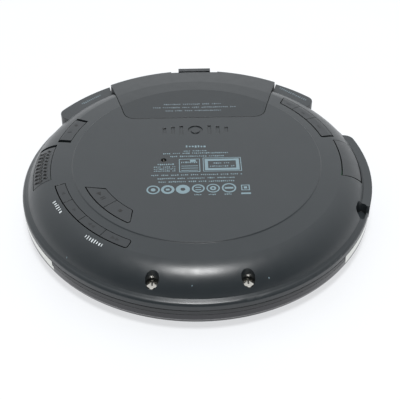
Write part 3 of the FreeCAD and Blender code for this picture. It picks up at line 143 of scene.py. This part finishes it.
def lacquered_rim():
    """Silver metallic lacquer above, smoked clear-coated plastic below, both glossy.

    The line between them climbs to the rear from the front strip's ends, and all is smoked under
    the strip; flakes about 0.05 mm across are drawn at 0.18 mm."""
    material, tree, shader, place = begin("silver_lacquer_rim")
    parts = add(tree, "ShaderNodeSeparateXYZ", links={"Vector": place})
    line = add(tree, "ShaderNodeMapRange",
               {"From Min": STRIP_FRONT * MM, "From Max": -6.0 * MM, "To Min": 6.4 * MM,
                "To Max": 9.4 * MM}, {"Value": parts.outputs["Y"]})
    over = add(tree, "ShaderNodeMath", links={0: parts.outputs["Z"], 1: line.outputs["Result"]},
               operation="GREATER_THAN")
    behind = add(tree, "ShaderNodeMath", {1: STRIP_FRONT * MM}, {0: parts.outputs["Y"]},
                 operation="GREATER_THAN")
    above = add(tree, "ShaderNodeMath", links={0: over.outputs["Value"],
                                               1: behind.outputs["Value"]},
                operation="MULTIPLY")
    flake = add(tree, "ShaderNodeTexNoise", {"Scale": per_metre(0.18), "Detail": 1.0},
                {"Vector": place})
    silver = add(tree, "ShaderNodeMix", {6: linear("#c4c6c2"), 7: linear("#dcdcd4")},
                 {0: flake.outputs["Fac"]}, data_type="RGBA")
    smoked = add(tree, "ShaderNodeMix", {6: linear("#1c1c22"), 7: linear("#222228")},
                 {0: flake.outputs["Fac"]}, data_type="RGBA")
    colour = add(tree, "ShaderNodeMix",
                 links={0: above.outputs["Value"], 6: smoked.outputs[2], 7: silver.outputs[2]},
                 data_type="RGBA")
    wave = add(tree, "ShaderNodeTexNoise", {"Scale": per_metre(5.0), "Detail": 1.0},
               {"Vector": place})
    gloss = add(tree, "ShaderNodeMapRange",
                {"From Min": 0.3, "From Max": 0.7, "To Min": 0.12, "To Max": 0.2},
                {"Value": wave.outputs["Fac"]})
    relief = add(tree, "ShaderNodeBump", {"Strength": 0.4, "Distance": 0.004 * MM},
                 {"Height": wave.outputs["Fac"]})
    tree.links.new(colour.outputs[2], shader.inputs["Base Color"])
    tree.links.new(gloss.outputs["Result"], shader.inputs["Roughness"])
    tree.links.new(relief.outputs["Normal"], shader.inputs["Normal"])
    tree.links.new(above.outputs["Value"], shader.inputs["Metallic"])
    shader.inputs["Coat Weight"].default_value = 0.15
    shader.inputs["Coat Roughness"].default_value = 0.06
    return material


def steel(name, tint, rough, stretch=(1.0, 1.0, 1.0), depth_mm=0.003):
    """Plated or rolled steel: a bright metal with fine drawn lines about 0.25 mm apart."""
    material, tree, shader, place = begin(name)
    turned = add(tree, "ShaderNodeMapping", {"Scale": stretch}, {"Vector": place})
    line = add(tree, "ShaderNodeTexNoise", {"Scale": per_metre(0.25), "Detail": 2.0},
               {"Vector": turned.outputs["Vector"]})
    gloss = add(tree, "ShaderNodeMapRange",
                {"From Min": 0.3, "From Max": 0.7, "To Min": rough * 0.7, "To Max": rough * 1.4},
                {"Value": line.outputs["Fac"]})
    relief = add(tree, "ShaderNodeBump", {"Strength": 0.5, "Distance": depth_mm * MM},
                 {"Height": line.outputs["Fac"]})
    tree.links.new(gloss.outputs["Result"], shader.inputs["Roughness"])
    tree.links.new(relief.outputs["Normal"], shader.inputs["Normal"])
    shader.inputs["Base Color"].default_value = linear(tint)
    shader.inputs["Metallic"].default_value = 1.0
    return material


def pad_print(name, dark, light, rough=0.6):
    """Pad-printed ink: a thin matt film whose edges and body are a little uneven."""
    material, tree, shader, place = begin(name)
    speckle = add(tree, "ShaderNodeTexNoise", {"Scale": per_metre(0.4), "Detail": 3.0},
                  {"Vector": place})
    colour = add(tree, "ShaderNodeMix", {6: linear(dark), 7: linear(light)},
                 {0: speckle.outputs["Fac"]}, data_type="RGBA")
    gloss = add(tree, "ShaderNodeMapRange",
                {"From Min": 0.3, "From Max": 0.7, "To Min": rough - 0.1, "To Max": rough + 0.1},
                {"Value": speckle.outputs["Fac"]})
    tree.links.new(colour.outputs[2], shader.inputs["Base Color"])
    tree.links.new(gloss.outputs["Result"], shader.inputs["Roughness"])
    return material


def window_glass():
    """Clear moulded polycarbonate: smooth, faintly blue, with a slow moulding ripple."""
    material, tree, shader, place = begin("clear_polycarbonate_window")
    ripple = add(tree, "ShaderNodeTexNoise", {"Scale": per_metre(8.0), "Detail": 1.0},
                 {"Vector": place})
    gloss = add(tree, "ShaderNodeMapRange",
                {"From Min": 0.3, "From Max": 0.7, "To Min": 0.04, "To Max": 0.08},
                {"Value": ripple.outputs["Fac"]})
    relief = add(tree, "ShaderNodeBump", {"Strength": 0.3, "Distance": 0.01 * MM},
                 {"Height": ripple.outputs["Fac"]})
    tree.links.new(gloss.outputs["Result"], shader.inputs["Roughness"])
    tree.links.new(relief.outputs["Normal"], shader.inputs["Normal"])
    shader.inputs["Base Color"].default_value = linear("#dfe6ea")
    shader.inputs["Transmission Weight"].default_value = 0.9
    shader.inputs["IOR"].default_value = 1.58
    return material


def lens_glass():
    """Moulded lens with a blue-violet anti-reflection coating of uneven thickness."""
    material, tree, shader, place = begin("coated_lens")
    film = add(tree, "ShaderNodeTexNoise", {"Scale": per_metre(1.5)}, {"Vector": place})
    colour = add(tree, "ShaderNodeMix", {6: linear("#2b3a6a"), 7: linear("#4a5a96")},
                 {0: film.outputs["Fac"]}, data_type="RGBA")
    tree.links.new(colour.outputs[2], shader.inputs["Base Color"])
    shader.inputs["Transmission Weight"].default_value = 0.5
    shader.inputs["Roughness"].default_value = 0.05
    return material


def board_mask():
    """Green solder mask over etched copper tracks on a grid of about 5 by 2.5 mm."""
    material, tree, shader, place = begin("green_solder_mask")
    tracks = add(tree, "ShaderNodeTexBrick", {"Scale": per_metre(5.0)}, {"Vector": place})
    colour = add(tree, "ShaderNodeMix", {6: linear("#1c5a34"), 7: linear("#2e7a48")},
                 {0: tracks.outputs["Fac"]}, data_type="RGBA")
    relief = add(tree, "ShaderNodeBump", {"Strength": 0.5, "Distance": 0.03 * MM},
                 {"Height": tracks.outputs["Fac"]})
    tree.links.new(colour.outputs[2], shader.inputs["Base Color"])
    tree.links.new(relief.outputs["Normal"], shader.inputs["Normal"])
    shader.inputs["Roughness"].default_value = 0.3
    return material


CASE = moulded("charcoal_abs_satin", "#292e31", "#2d3235", 0.32, rub_sheen_and_shade=0.12)
DOOR = moulded("charcoal_abs_door", "#24292c", "#282d30", 0.33, specular=0.42, rub_sheen_and_shade=0.12)
KEYS = moulded("charcoal_abs_keys", "#282c2f", "#2c3033", 0.38, 0.25, rub_sheen_and_shade=0.12)
SLIDERS = moulded("charcoal_abs_sliders", "#272b2e", "#2b2f32", 0.36, 0.25, rub_sheen_and_shade=0.12)
LIP = moulded("dark_abs_strip", "#1d2023", "#212427", 0.38)
LID = moulded("silver_grey_abs_lid", "#8f9296", "#979a9e", 0.38, 0.25)
DECK = moulded("black_abs_deck", "#1d1f21", "#222426", 0.5, 0.35, 0.02)
SOCKET = moulded("black_pbt_socket", "#141516", "#191a1b", 0.3, 0.3, 0.008)
BLACK = moulded("black_pom_parts", "#151617", "#1b1c1d", 0.38, 0.25, 0.008)
WHITE = moulded("white_pom_gears", "#d8d6cc", "#e2e0d8", 0.42, 0.3, 0.008)
RUBBER = moulded("grey_silicone_mat", "#6e7072", "#787a7c", 0.68, 0.4, 0.02, 0.3)
FOAM = moulded("black_foam_pad", "#0e0e0e", "#171717", 0.9, 0.35, 0.08, 0.2)
SCREW = steel("nickel_plated_screw", "#d3d0c9", 0.16)
PIN = steel("ground_steel_pin", "#c2c2c2", 0.22, (0.1, 1.0, 1.0))
SPRING = steel("nickel_spring_wire", "#d0cdc4", 0.2)
SHEET = steel("rolled_steel_sheet", "#b9babb", 0.34, (0.08, 1.0, 1.0), 0.006)
CAN = steel("plated_motor_can", "#bdbebf", 0.26, (1.0, 1.0, 0.1))
CHROME = steel("polished_steel_ball", "#e0e0e0", 0.08)
PRINT = pad_print("grey_blue_pad_print", "#728890", "#7d929a")
WHITE_PRINT = pad_print("white_pad_print", "#c3cacd", "#d2d8da")
FAINT_PRINT = pad_print("faint_pad_print", "#68757c", "#727f86")
DARK_PRINT = pad_print("black_pad_print", "#0f1011", "#151617", 0.5)
FAINT_DARK = pad_print("faint_dark_pad_print", "#1d2022", "#222527", 0.5)
RIBS = moulded("charcoal_abs_grip", "#121415", "#17191a", 0.45, 0.25)

finishes = {
    "case_plastic": CASE, "door_plastic": DOOR, "key_plastic": KEYS, "slider_plastic": SLIDERS,
    "rim_gloss": lacquered_rim(), "lid_plastic": LID, "lip_plastic": LIP,
    "window_clear": window_glass(), "pad_foam": FOAM, "deck_plastic": DECK, "pin_steel": PIN,
    "spring_steel": SPRING, "socket_plastic": SOCKET, "board_green": board_mask(),
    "chip_black": BLACK, "mat_rubber": RUBBER, "screw_steel": SCREW, "plate_steel": SHEET,
    "motor_steel": CAN, "hub_plastic": DECK, "ball_chrome": CHROME, "holder_black": BLACK,
    "lens_glass": lens_glass(), "gear_white": WHITE, "switch_black": BLACK}
for part in frame["record"]["subparts"]:
    piece = frame["nodes"][part["node"]]
    for held in piece.material_slots:
        held.material = finishes[part["material_slot"]]

# ---------------------------------------------------------------- prints and small marks

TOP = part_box("bottom_case")[1][2] / MM
FILM = 0.03              # a print stands this far over its surface, and sinks as far into it
STEP_RADIUS = 47.6       # the fine round step near the plateau's edge
STEP_WIDTH = 0.4
STEP_DROP = 0.35
CREST_RADIUS = 55.5      # where the shoulder's arc starts
CREST_HEIGHT = TOP - 1.1
FOOT_RADIUS = 65.7       # where it ends
FOOT_HEIGHT = 13.7
SHOULDER_BEND = 14.5     # the arc's radius
BLOCK_TOP = 17.4         # the jack blocks' level tops
RIB_LEAN = 0.6           # a grip rib's rise also leans outward by this share of it


def shoulder_middle():
    """The middle of the shoulder's arc in radius and height.

    It is off the chord's midpoint, square to the chord, by what the bend's radius leaves."""
    crest = np.array([CREST_RADIUS, CREST_HEIGHT])
    foot = np.array([FOOT_RADIUS, FOOT_HEIGHT])
    chord = foot - crest
    length = np.linalg.norm(chord)
    square = np.array([chord[1], -chord[0]]) / length
    return (crest + foot) / 2 + square * math.sqrt(SHOULDER_BEND ** 2 - (length / 2) ** 2)


BEND_MIDDLE = shoulder_middle()


def surface_height(radius):
    """The underside's height at a radius: flat, a small slope to the crest, then an arc."""
    slope = np.interp(radius, [0.0, STEP_RADIUS, STEP_RADIUS + STEP_WIDTH, CREST_RADIUS],
                      [TOP, TOP, TOP - STEP_DROP, CREST_HEIGHT])
    inside = np.maximum(SHOULDER_BEND ** 2 - (radius - BEND_MIDDLE[0]) ** 2, 0.0)
    arc = BEND_MIDDLE[1] + np.sqrt(inside)
    return np.where(radius > CREST_RADIUS, arc, slope)


def film_piece(name, films, finish, body):
    """Makes one piece from closed films in millimetres, and hangs it on a body."""
    points, faces = gathered(films)
    mesh = bpy.data.meshes.new(name)
    mesh.from_pydata((np.asarray(points) * MM).tolist(), [], faces)
    mesh.update()
    made = bpy.data.objects.new(name, mesh)
    bpy.context.scene.collection.objects.link(made)
    made.data.materials.append(finish)
    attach(made, body)


def film_grid(u, v, place, thick):
    """One closed film over a grid: its top is place(u, v) raised by thick, its foot is below.

    place gives x, y and z for whole arrays; the foot sinks into the surface by the same."""
    across, along = np.meshgrid(u, v, indexing="ij")
    x, y, z = place(across, along)
    top = np.stack([x, y, z + thick], axis=-1).reshape(-1, 3)
    foot = np.stack([x, y, z - thick], axis=-1).reshape(-1, 3)
    rows, columns = len(u), len(v)
    index = np.arange(rows * columns).reshape(rows, columns)
    quads = np.stack([index[:-1, :-1], index[1:, :-1], index[1:, 1:], index[:-1, 1:]],
                     axis=-1).reshape(-1, 4)
    rim = np.concatenate([index[:, 0], index[-1, 1:], index[-2::-1, -1], index[0, -2:0:-1]])
    after = np.roll(rim, -1)
    below = rows * columns
    skirt = np.stack([rim, rim + below, after + below, after], axis=-1)
    faces = np.concatenate([quads, quads[:, ::-1] + below, skirt])
    return np.concatenate([top, foot]), faces


def gathered(films):
    """Joins closed films into one list of points and faces."""
    points, faces, base = [], [], 0
    for film_points, film_faces in films:
        points.append(film_points)
        faces += (film_faces + base).tolist()
        base += len(film_points)
    return np.concatenate(points), faces


def flat_place(u, v):
    """The plateau: u and v are x and y."""
    return u, v, np.full_like(u, TOP)


def shoulder_place(u, v):
    """The underside in polar form: u is the radius and v the angle in degrees."""
    turn = np.radians(v)
    return u * np.cos(turn), u * np.sin(turn), surface_height(u)


def bar(x0, y0, x1, y1):
    """A plain printed bar on the plateau."""
    return film_grid(np.array([x0, x1]), np.array([y0, y1]), flat_place, FILM)


def turned_section(x, y, section, steps):
    """Loops of points round (x, y), one for each (radius, height) pair of a section."""
    turn = np.linspace(0.0, 2 * np.pi, steps, endpoint=False)
    return np.concatenate([np.stack([x + radius * np.cos(turn), y + radius * np.sin(turn),
                                     np.full_like(turn, height)], axis=-1)
                           for radius, height in section])


def ring(x, y, outer, inner, steps=24):
    """A printed ring: an oblong section turned round (x, y), joined to itself with no seam."""
    section = ((inner, TOP + FILM), (outer, TOP + FILM), (outer, TOP - FILM), (inner, TOP - FILM))
    points = turned_section(x, y, section, steps)
    loop = np.arange(4 * steps).reshape(4, steps)
    beside, after = np.roll(loop, -1, axis=0), np.roll(loop, -1, axis=1)
    faces = np.stack([loop, beside, np.roll(beside, -1, axis=1), after], axis=-1)
    return points, faces.reshape(-1, 4)


def disc(x, y, radius, steps=12):
    """A printed disc: two rim loops, and one centre point above and one below.

    Each flat face has the centre and three rim points, so steps is even."""
    rims = turned_section(x, y, ((radius, TOP + FILM), (radius, TOP - FILM)), steps)
    points = np.concatenate([rims, [[x, y, TOP + FILM], [x, y, TOP - FILM]]])
    rim = np.arange(steps)
    after = np.roll(rim, -1)
    wall = np.stack([rim, rim + steps, after + steps, after], axis=-1)
    fan = np.stack([np.full(steps // 2, 2 * steps), rim[::2], rim[1::2], np.roll(rim[::2], -1)],
                   axis=-1)
    below = fan[:, ::-1] + np.array([steps, steps, steps, 1])
    return points, np.concatenate([wall, fan, below])


def frame_box(x0, y0, x1, y1, line):
    """Four printed bars round a box."""
    return [bar(x0, y0, x1, y0 + line), bar(x0, y1 - line, x1, y1),
            bar(x0, y0 + line, x0 + line, y1 - line), bar(x1 - line, y0 + line, x1, y1 - line)]


def text_row(x0, x1, y, high, seed, letter=0.62, gap=0.2, space=5):
    """A row of plain short bars of uneven height, with a space now and then."""
    random = np.random.default_rng(seed)
    films = []
    x = x0
    count = 0
    while x + letter < x1:
        low = y + high * random.uniform(0.0, 0.3)
        up = y + high * random.uniform(0.7, 1.0)
        if count % space != space - 1 or random.random() < 0.4:
            films.append(bar(x, low, x + letter * random.uniform(0.6, 1.0), up))
        x += letter + gap
        count += 1
    return films


# Rows, frames and rings on the plateau, x to the right and y to the rear
prints = []
prints += text_row(-4.0, 4.0, 6.5, 1.5, 1, 0.9, 0.25, 9)
prints += text_row(-4.9, 4.2, 4.0, 0.75, 2, 0.5)
prints += text_row(-12.9, 13.6, 2.5, 0.9, 3, 0.55)
prints += text_row(-10.2, 11.1, 0.55, 0.9, 4, 0.55)
for line, (left, right) in enumerate(((-17.4, 17.6), (-15.0, 15.2), (-14.6, 14.0))):
    prints += text_row(left, right, -10.9 - 2.0 * line, 0.9, 10 + line, 0.55)
prints += frame_box(-6.85, -8.75, 1.2, -0.65, 0.3)
prints += text_row(-6.0, 0.4, -3.3, 1.1, 20, 0.6)
prints += [bar(-2.6, -2.6, -0.4, -1.2)]
for line in range(3):
    prints += [bar(-6.0, -7.9 + 1.35 * line, 0.4, -7.55 + 1.35 * line)]
prints += frame_box(2.3, -8.6, 17.0, -0.1, 0.3)
prints += frame_box(3.0, -7.9, 16.2, -0.9, 1.25)
prints += text_row(6.4, 13.0, -4.0, 0.9, 21, 0.6)
prints += text_row(5.0, 14.6, -5.9, 0.9, 22, 0.6)
prints += text_row(-15.0, -8.4, -4.3, 1.0, 23, 0.6)
for line in range(3):
    prints += text_row(-16.4, -8.0, -5.8 - 1.25 * line, 0.8, 24 + line, 0.5)
prints += [ring(-16.6, -18.9, 2.5, 1.9), disc(-16.6, -18.9, 0.9)]
prints += [ring(-11.2, -18.9, 2.5, 1.5), bar(-11.9, -19.4, -10.5, -18.4)]
prints += [ring(-5.6, -18.9, 2.6, 0.9)]
prints += [ring(0.1, -18.6, 2.4, 1.8)]
prints += [bar(-1.0, -19.6, 1.2, -19.1), bar(-1.0, -18.2, 1.2, -17.7)]
prints += [ring(5.6, -18.6, 2.5, 2.0), ring(5.6, -18.6, 1.2, 0.5, 16)]
prints += [ring(11.5, -18.6, 2.7, 2.1), bar(9.9, -19.1, 13.1, -18.1)]
prints += frame_box(16.0, -20.2, 19.2, -17.0, 0.4)
prints += [bar(15.8, -22.4, 19.4, -21.5), bar(17.0, -19.2, 18.2, -18.0)]
for x, seed in ((0.2, 30), (5.4, 31), (11.3, 32)):
    prints += text_row(x - 1.6, x + 1.8, -22.6, 0.8, seed, 0.5)
film_piece("plateau_prints", prints, PRINT, "housing")

door_rows = []
for line, (left, right) in enumerate(((-12.6, 11.8), (-17.0, 17.6), (-11.9, 11.4))):
    door_rows += text_row(left, right, 36.1 - 2.35 * line, 1.0, 40 + line, 0.6)
film_piece("door_prints", door_rows, FAINT_PRINT, "battery_door")


def shoulder_bar(r0, r1, a0, a1, steps=6):
    """A printed bar that follows the shoulder, between two radii and two angles."""
    return film_grid(np.linspace(r0, r1, steps), np.linspace(a0, a1, steps), shoulder_place,
                     FILM)


def curved_row(radius, high, start, end, seed, count):
    """A row of plain upright bars along the shoulder, each a little uneven."""
    random = np.random.default_rng(seed)
    step = (end - start) / count
    films = []
    for number in range(count):
        first = start + step * number
        low = radius + high * random.uniform(0.0, 0.2)
        up = radius + high * random.uniform(0.75, 1.0)
        films.append(shoulder_bar(low, up, first, first + step * random.uniform(0.28, 0.5)))
    return films


row_labels = curved_row(56.7, 1.5, -157.0, -149.6, 50, 6)
row_labels += curved_row(56.9, 1.5, -134.2, -125.6, 51, 8)
film_piece("key_row_labels", row_labels, WHITE_PRINT, "housing")


def block_place(middle_x, middle_y, turn_deg, height):
    """A level face: u runs along a turned line from a middle point and v square to it."""
    along = math.radians(turn_deg)

    def place(u, v):
        x = middle_x + u * math.cos(along) - v * math.sin(along)
        y = middle_y + u * math.sin(along) + v * math.cos(along)
        return x, y, np.full_like(u, height)
    return place


def block_row(x, y, turn_deg, half_long, high, seed, count):
    """A row of plain bars on a jack block's level top."""
    place = block_place(x, y, turn_deg, BLOCK_TOP)
    random = np.random.default_rng(seed)
    step = 2 * half_long / count
    films = []
    for number in range(count):
        first = -half_long + step * number
        span = np.array([first, first + step * random.uniform(0.35, 0.6)])
        reach = np.array([high * random.uniform(0.0, 0.2), high * random.uniform(0.75, 1.0)])
        films.append(film_grid(span, reach, place, FILM))
    return films


block_rows = block_row(-44.6, 50.3, 221.0, 5.2, 1.2, 60, 11)
block_rows += block_row(43.0, 50.9, -44.0, 7.4, 1.2, 61, 15)
film_piece("jack_block_labels", block_rows, FAINT_PRINT, "housing")


def polar_bar(radius, angle, long, wide, turn_deg, place_on=shoulder_place):
    """A bar on the underside, centred at a radius and angle and turned in its own plane."""
    turn = math.radians(turn_deg)

    def place(u, v):
        out = u * math.cos(turn) - v * math.sin(turn)
        round_it = u * math.sin(turn) + v * math.cos(turn)
        return place_on(radius + out, angle + np.degrees(round_it / radius))
    return film_grid(np.linspace(-long / 2, long / 2, 3), np.array([-wide / 2, wide / 2]), place,
                     FILM)


def triangle_mark(radius, angle, size, forward):
    """A small triangle as a grid that narrows to a short edge along the row.

    Across the row is the grid's second way, so a forward mark's faces are turned over."""
    def place(u, v):
        out = v * (1.0 - 0.85 * u) * size * 0.5
        round_it = forward * (u - 0.5) * size
        return shoulder_place(radius + out, angle + np.degrees(round_it / radius))
    grid = (np.array([0.0, 1.0]), np.array([-1.0, 1.0]))
    points, faces = film_grid(*grid, place, FILM)
    return points, faces[:, ::-1] if forward > 0 else faces


key_marks = {
    "album_down_key": [triangle_mark(53.1, -159.6, 1.3, -1)],
    "album_up_key": [triangle_mark(53.1, -148.0, 1.3, 1)],
    "search_back_key": [triangle_mark(53.1, -137.4, 1.4, -1),
                        triangle_mark(53.1, -135.4, 1.4, -1)],
    "search_forward_key": [triangle_mark(53.1, -125.0, 1.4, 1),
                           triangle_mark(53.1, -123.0, 1.4, 1)],
    "play_key": [triangle_mark(41.7, -150.6, 1.9, 1), polar_bar(41.7, -147.4, 1.8, 0.45, 0.0),
                 polar_bar(41.7, -146.1, 1.8, 0.45, 0.0)],
    "stop_key": [polar_bar(41.4, -133.2, 1.3, 1.3, 0.0)],
    "mode_key": [polar_bar(54.0, 22.0, 0.5, 2.2, 0.0)],
    "program_key": [polar_bar(54.0, 34.0, 0.5, 2.0, 0.0)],
    "bass_key": [polar_bar(54.0, 43.0, 0.5, 2.0, 0.0)]}
for node, films in key_marks.items():
    finish = DARK_PRINT if node in ("play_key", "stop_key") else FAINT_DARK
    film_piece(node.replace("_key", "_mark"), films, finish, node)

hold_marks = [polar_bar(54.0, 153.2, 1.2, 1.2, 45.0), polar_bar(54.2, 158.6, 1.6, 0.5, 20.0)]
film_piece("hold_mark", hold_marks, DARK_PRINT, "hold_switch")


def grip_rib(radius, angle, long, wide, high, turn_deg, rows=7, columns=5):
    """A moulded grip rib: a long low dome on the shoulder, flat at its rim.

    Its height over the surface is high times one minus the square of each way's share."""
    turn = math.radians(turn_deg)

    def place(u, v):
        out = u * long / 2 * math.cos(turn) - v * wide / 2 * math.sin(turn)
        round_it = u * long / 2 * math.sin(turn) + v * wide / 2 * math.cos(turn)
        x, y, z = shoulder_place(radius + out, angle + np.degrees(round_it / radius))
        swell = high * (1 - u ** 2) * (1 - v ** 2)
        spread = swell * RIB_LEAN / radius
        return x * (1 + spread), y * (1 + spread), z + swell
    return film_grid(np.linspace(-1, 1, rows), np.linspace(-1, 1, columns), place, FILM)


ribs = []
for row in range(9):
    angle = 171.6 + 2.05 * row
    for column, radius in enumerate((58.2, 60.1, 61.7)):
        lean = 38.0 if column % 2 else -30.0
        ribs.append(grip_rib(radius, angle + 0.7 * (column % 2), 1.6, 0.95, 0.42, lean))
film_piece("open_grip_ribs", ribs, RIBS, "open_slider")


def speck(radius, angle, size):
    """A tiny light point, such as a moulding pip, as a low dome on the shoulder."""
    return grip_rib(radius, angle, size, size, size * 0.4, 0.0, 5, 5)


pips = [speck(63.2, -93.0, 0.3), speck(63.8, -68.9, 0.35), speck(65.2, -136.3, 0.3)]
film_piece("edge_pips", pips, PRINT, "housing")

# ---------------------------------------------------------------- stage

AIM = Vector((0.99, -9.66, 10.0)) * MM
DISTANCE = 0.350
AZIMUTH = math.radians(-1.7)
ELEVATION = math.radians(40.3)
ROLL = math.radians(-0.11)

back = Vector((math.sin(AZIMUTH) * math.cos(ELEVATION), -math.cos(AZIMUTH) * math.cos(ELEVATION),
               math.sin(ELEVATION)))
lens = bpy.data.cameras.new("camera")
lens.lens = 81.36
lens.sensor_width = 36.0
lens.clip_start = 0.01
camera = bpy.data.objects.new("camera", lens)
facing = (-back).to_track_quat("-Z", "Y").to_matrix().to_4x4()
stand = Matrix.Translation(AIM + back * DISTANCE)
camera.matrix_world = stand @ facing @ Matrix.Rotation(ROLL, 4, "Z")
bpy.context.scene.collection.objects.link(camera)
bpy.context.scene.camera = camera


def floor_sheet(size, steps):
    """A flat square sheet on z = 0: a grid of x and y."""
    across = np.linspace(-size / 2, size / 2, steps)
    x, y = np.meshgrid(across, across, indexing="ij")
    points = np.stack([x, y, np.zeros_like(x)], axis=-1).reshape(-1, 3)
    corner = (np.arange(steps - 1)[:, None] * steps + np.arange(steps - 1)).reshape(-1)
    faces = np.stack([corner, corner + steps, corner + steps + 1, corner + 1], axis=1)
    mesh = bpy.data.meshes.new("floor")
    mesh.from_pydata(points.tolist(), [], faces.tolist())
    piece = bpy.data.objects.new("floor", mesh)
    bpy.context.scene.collection.objects.link(piece)
    return piece


def opal_sheet():
    """Matt white opal sheet lit from below, so that shadows on it stay faint.

    It has a faint mottle some centimetres wide."""
    material, tree, shader, place = begin("white_opal_sheet")
    mottle = add(tree, "ShaderNodeTexNoise", {"Scale": per_metre(30.0)}, {"Vector": place})
    colour = add(tree, "ShaderNodeMix", {6: linear("#8c8e90"), 7: linear("#909294")},
                 {0: mottle.outputs["Fac"]}, data_type="RGBA")
    tree.links.new(colour.outputs[2], shader.inputs["Base Color"])
    shader.inputs["Roughness"].default_value = 0.6
    shader.inputs["Specular IOR Level"].default_value = 0.2
    shader.inputs["Emission Color"].default_value = linear("#fbfcfe")
    shader.inputs["Emission Strength"].default_value = 0.68
    return material


floor = floor_sheet(6.0, 3)
floor.data.materials.append(opal_sheet())


def softbox(name, spot, target, width, height, power):
    """A white rectangular studio light that looks at a point; sizes in metres, power in watts."""
    lamp = bpy.data.lights.new(name, "AREA")
    lamp.shape = "RECTANGLE"
    lamp.size = width
    lamp.size_y = height
    lamp.energy = power
    holder = bpy.data.objects.new(name, lamp)
    aim = (Vector(target) - Vector(spot)).to_track_quat("-Z", "Y").to_matrix().to_4x4()
    holder.matrix_world = Matrix.Translation(spot) @ aim
    bpy.context.scene.collection.objects.link(holder)


softbox("overhead", (0.0, -0.29, 1.06), (0, -0.02, 0), 0.26, 0.24, 9.0)

# A grey sky, dark to the front and bright to the rear, as a studio's back wall gives
world = bpy.data.worlds.new("studio")
world.use_nodes = True
sky = world.node_tree
ray = add(sky, "ShaderNodeTexCoord")
side = add(sky, "ShaderNodeSeparateXYZ", links={"Vector": ray.outputs["Generated"]})
rear = add(sky, "ShaderNodeMapRange",
           {"From Min": -0.7, "From Max": 0.7, "To Min": 0.04, "To Max": 1.15},
           {"Value": side.outputs["Y"]})
ground = sky.nodes["Background"]
sky.links.new(rear.outputs["Result"], ground.inputs["Strength"])
ground.inputs["Color"].default_value = linear("#f6f8fa")
bpy.context.scene.world = world
bpy.context.scene.view_settings.view_transform = "Standard"
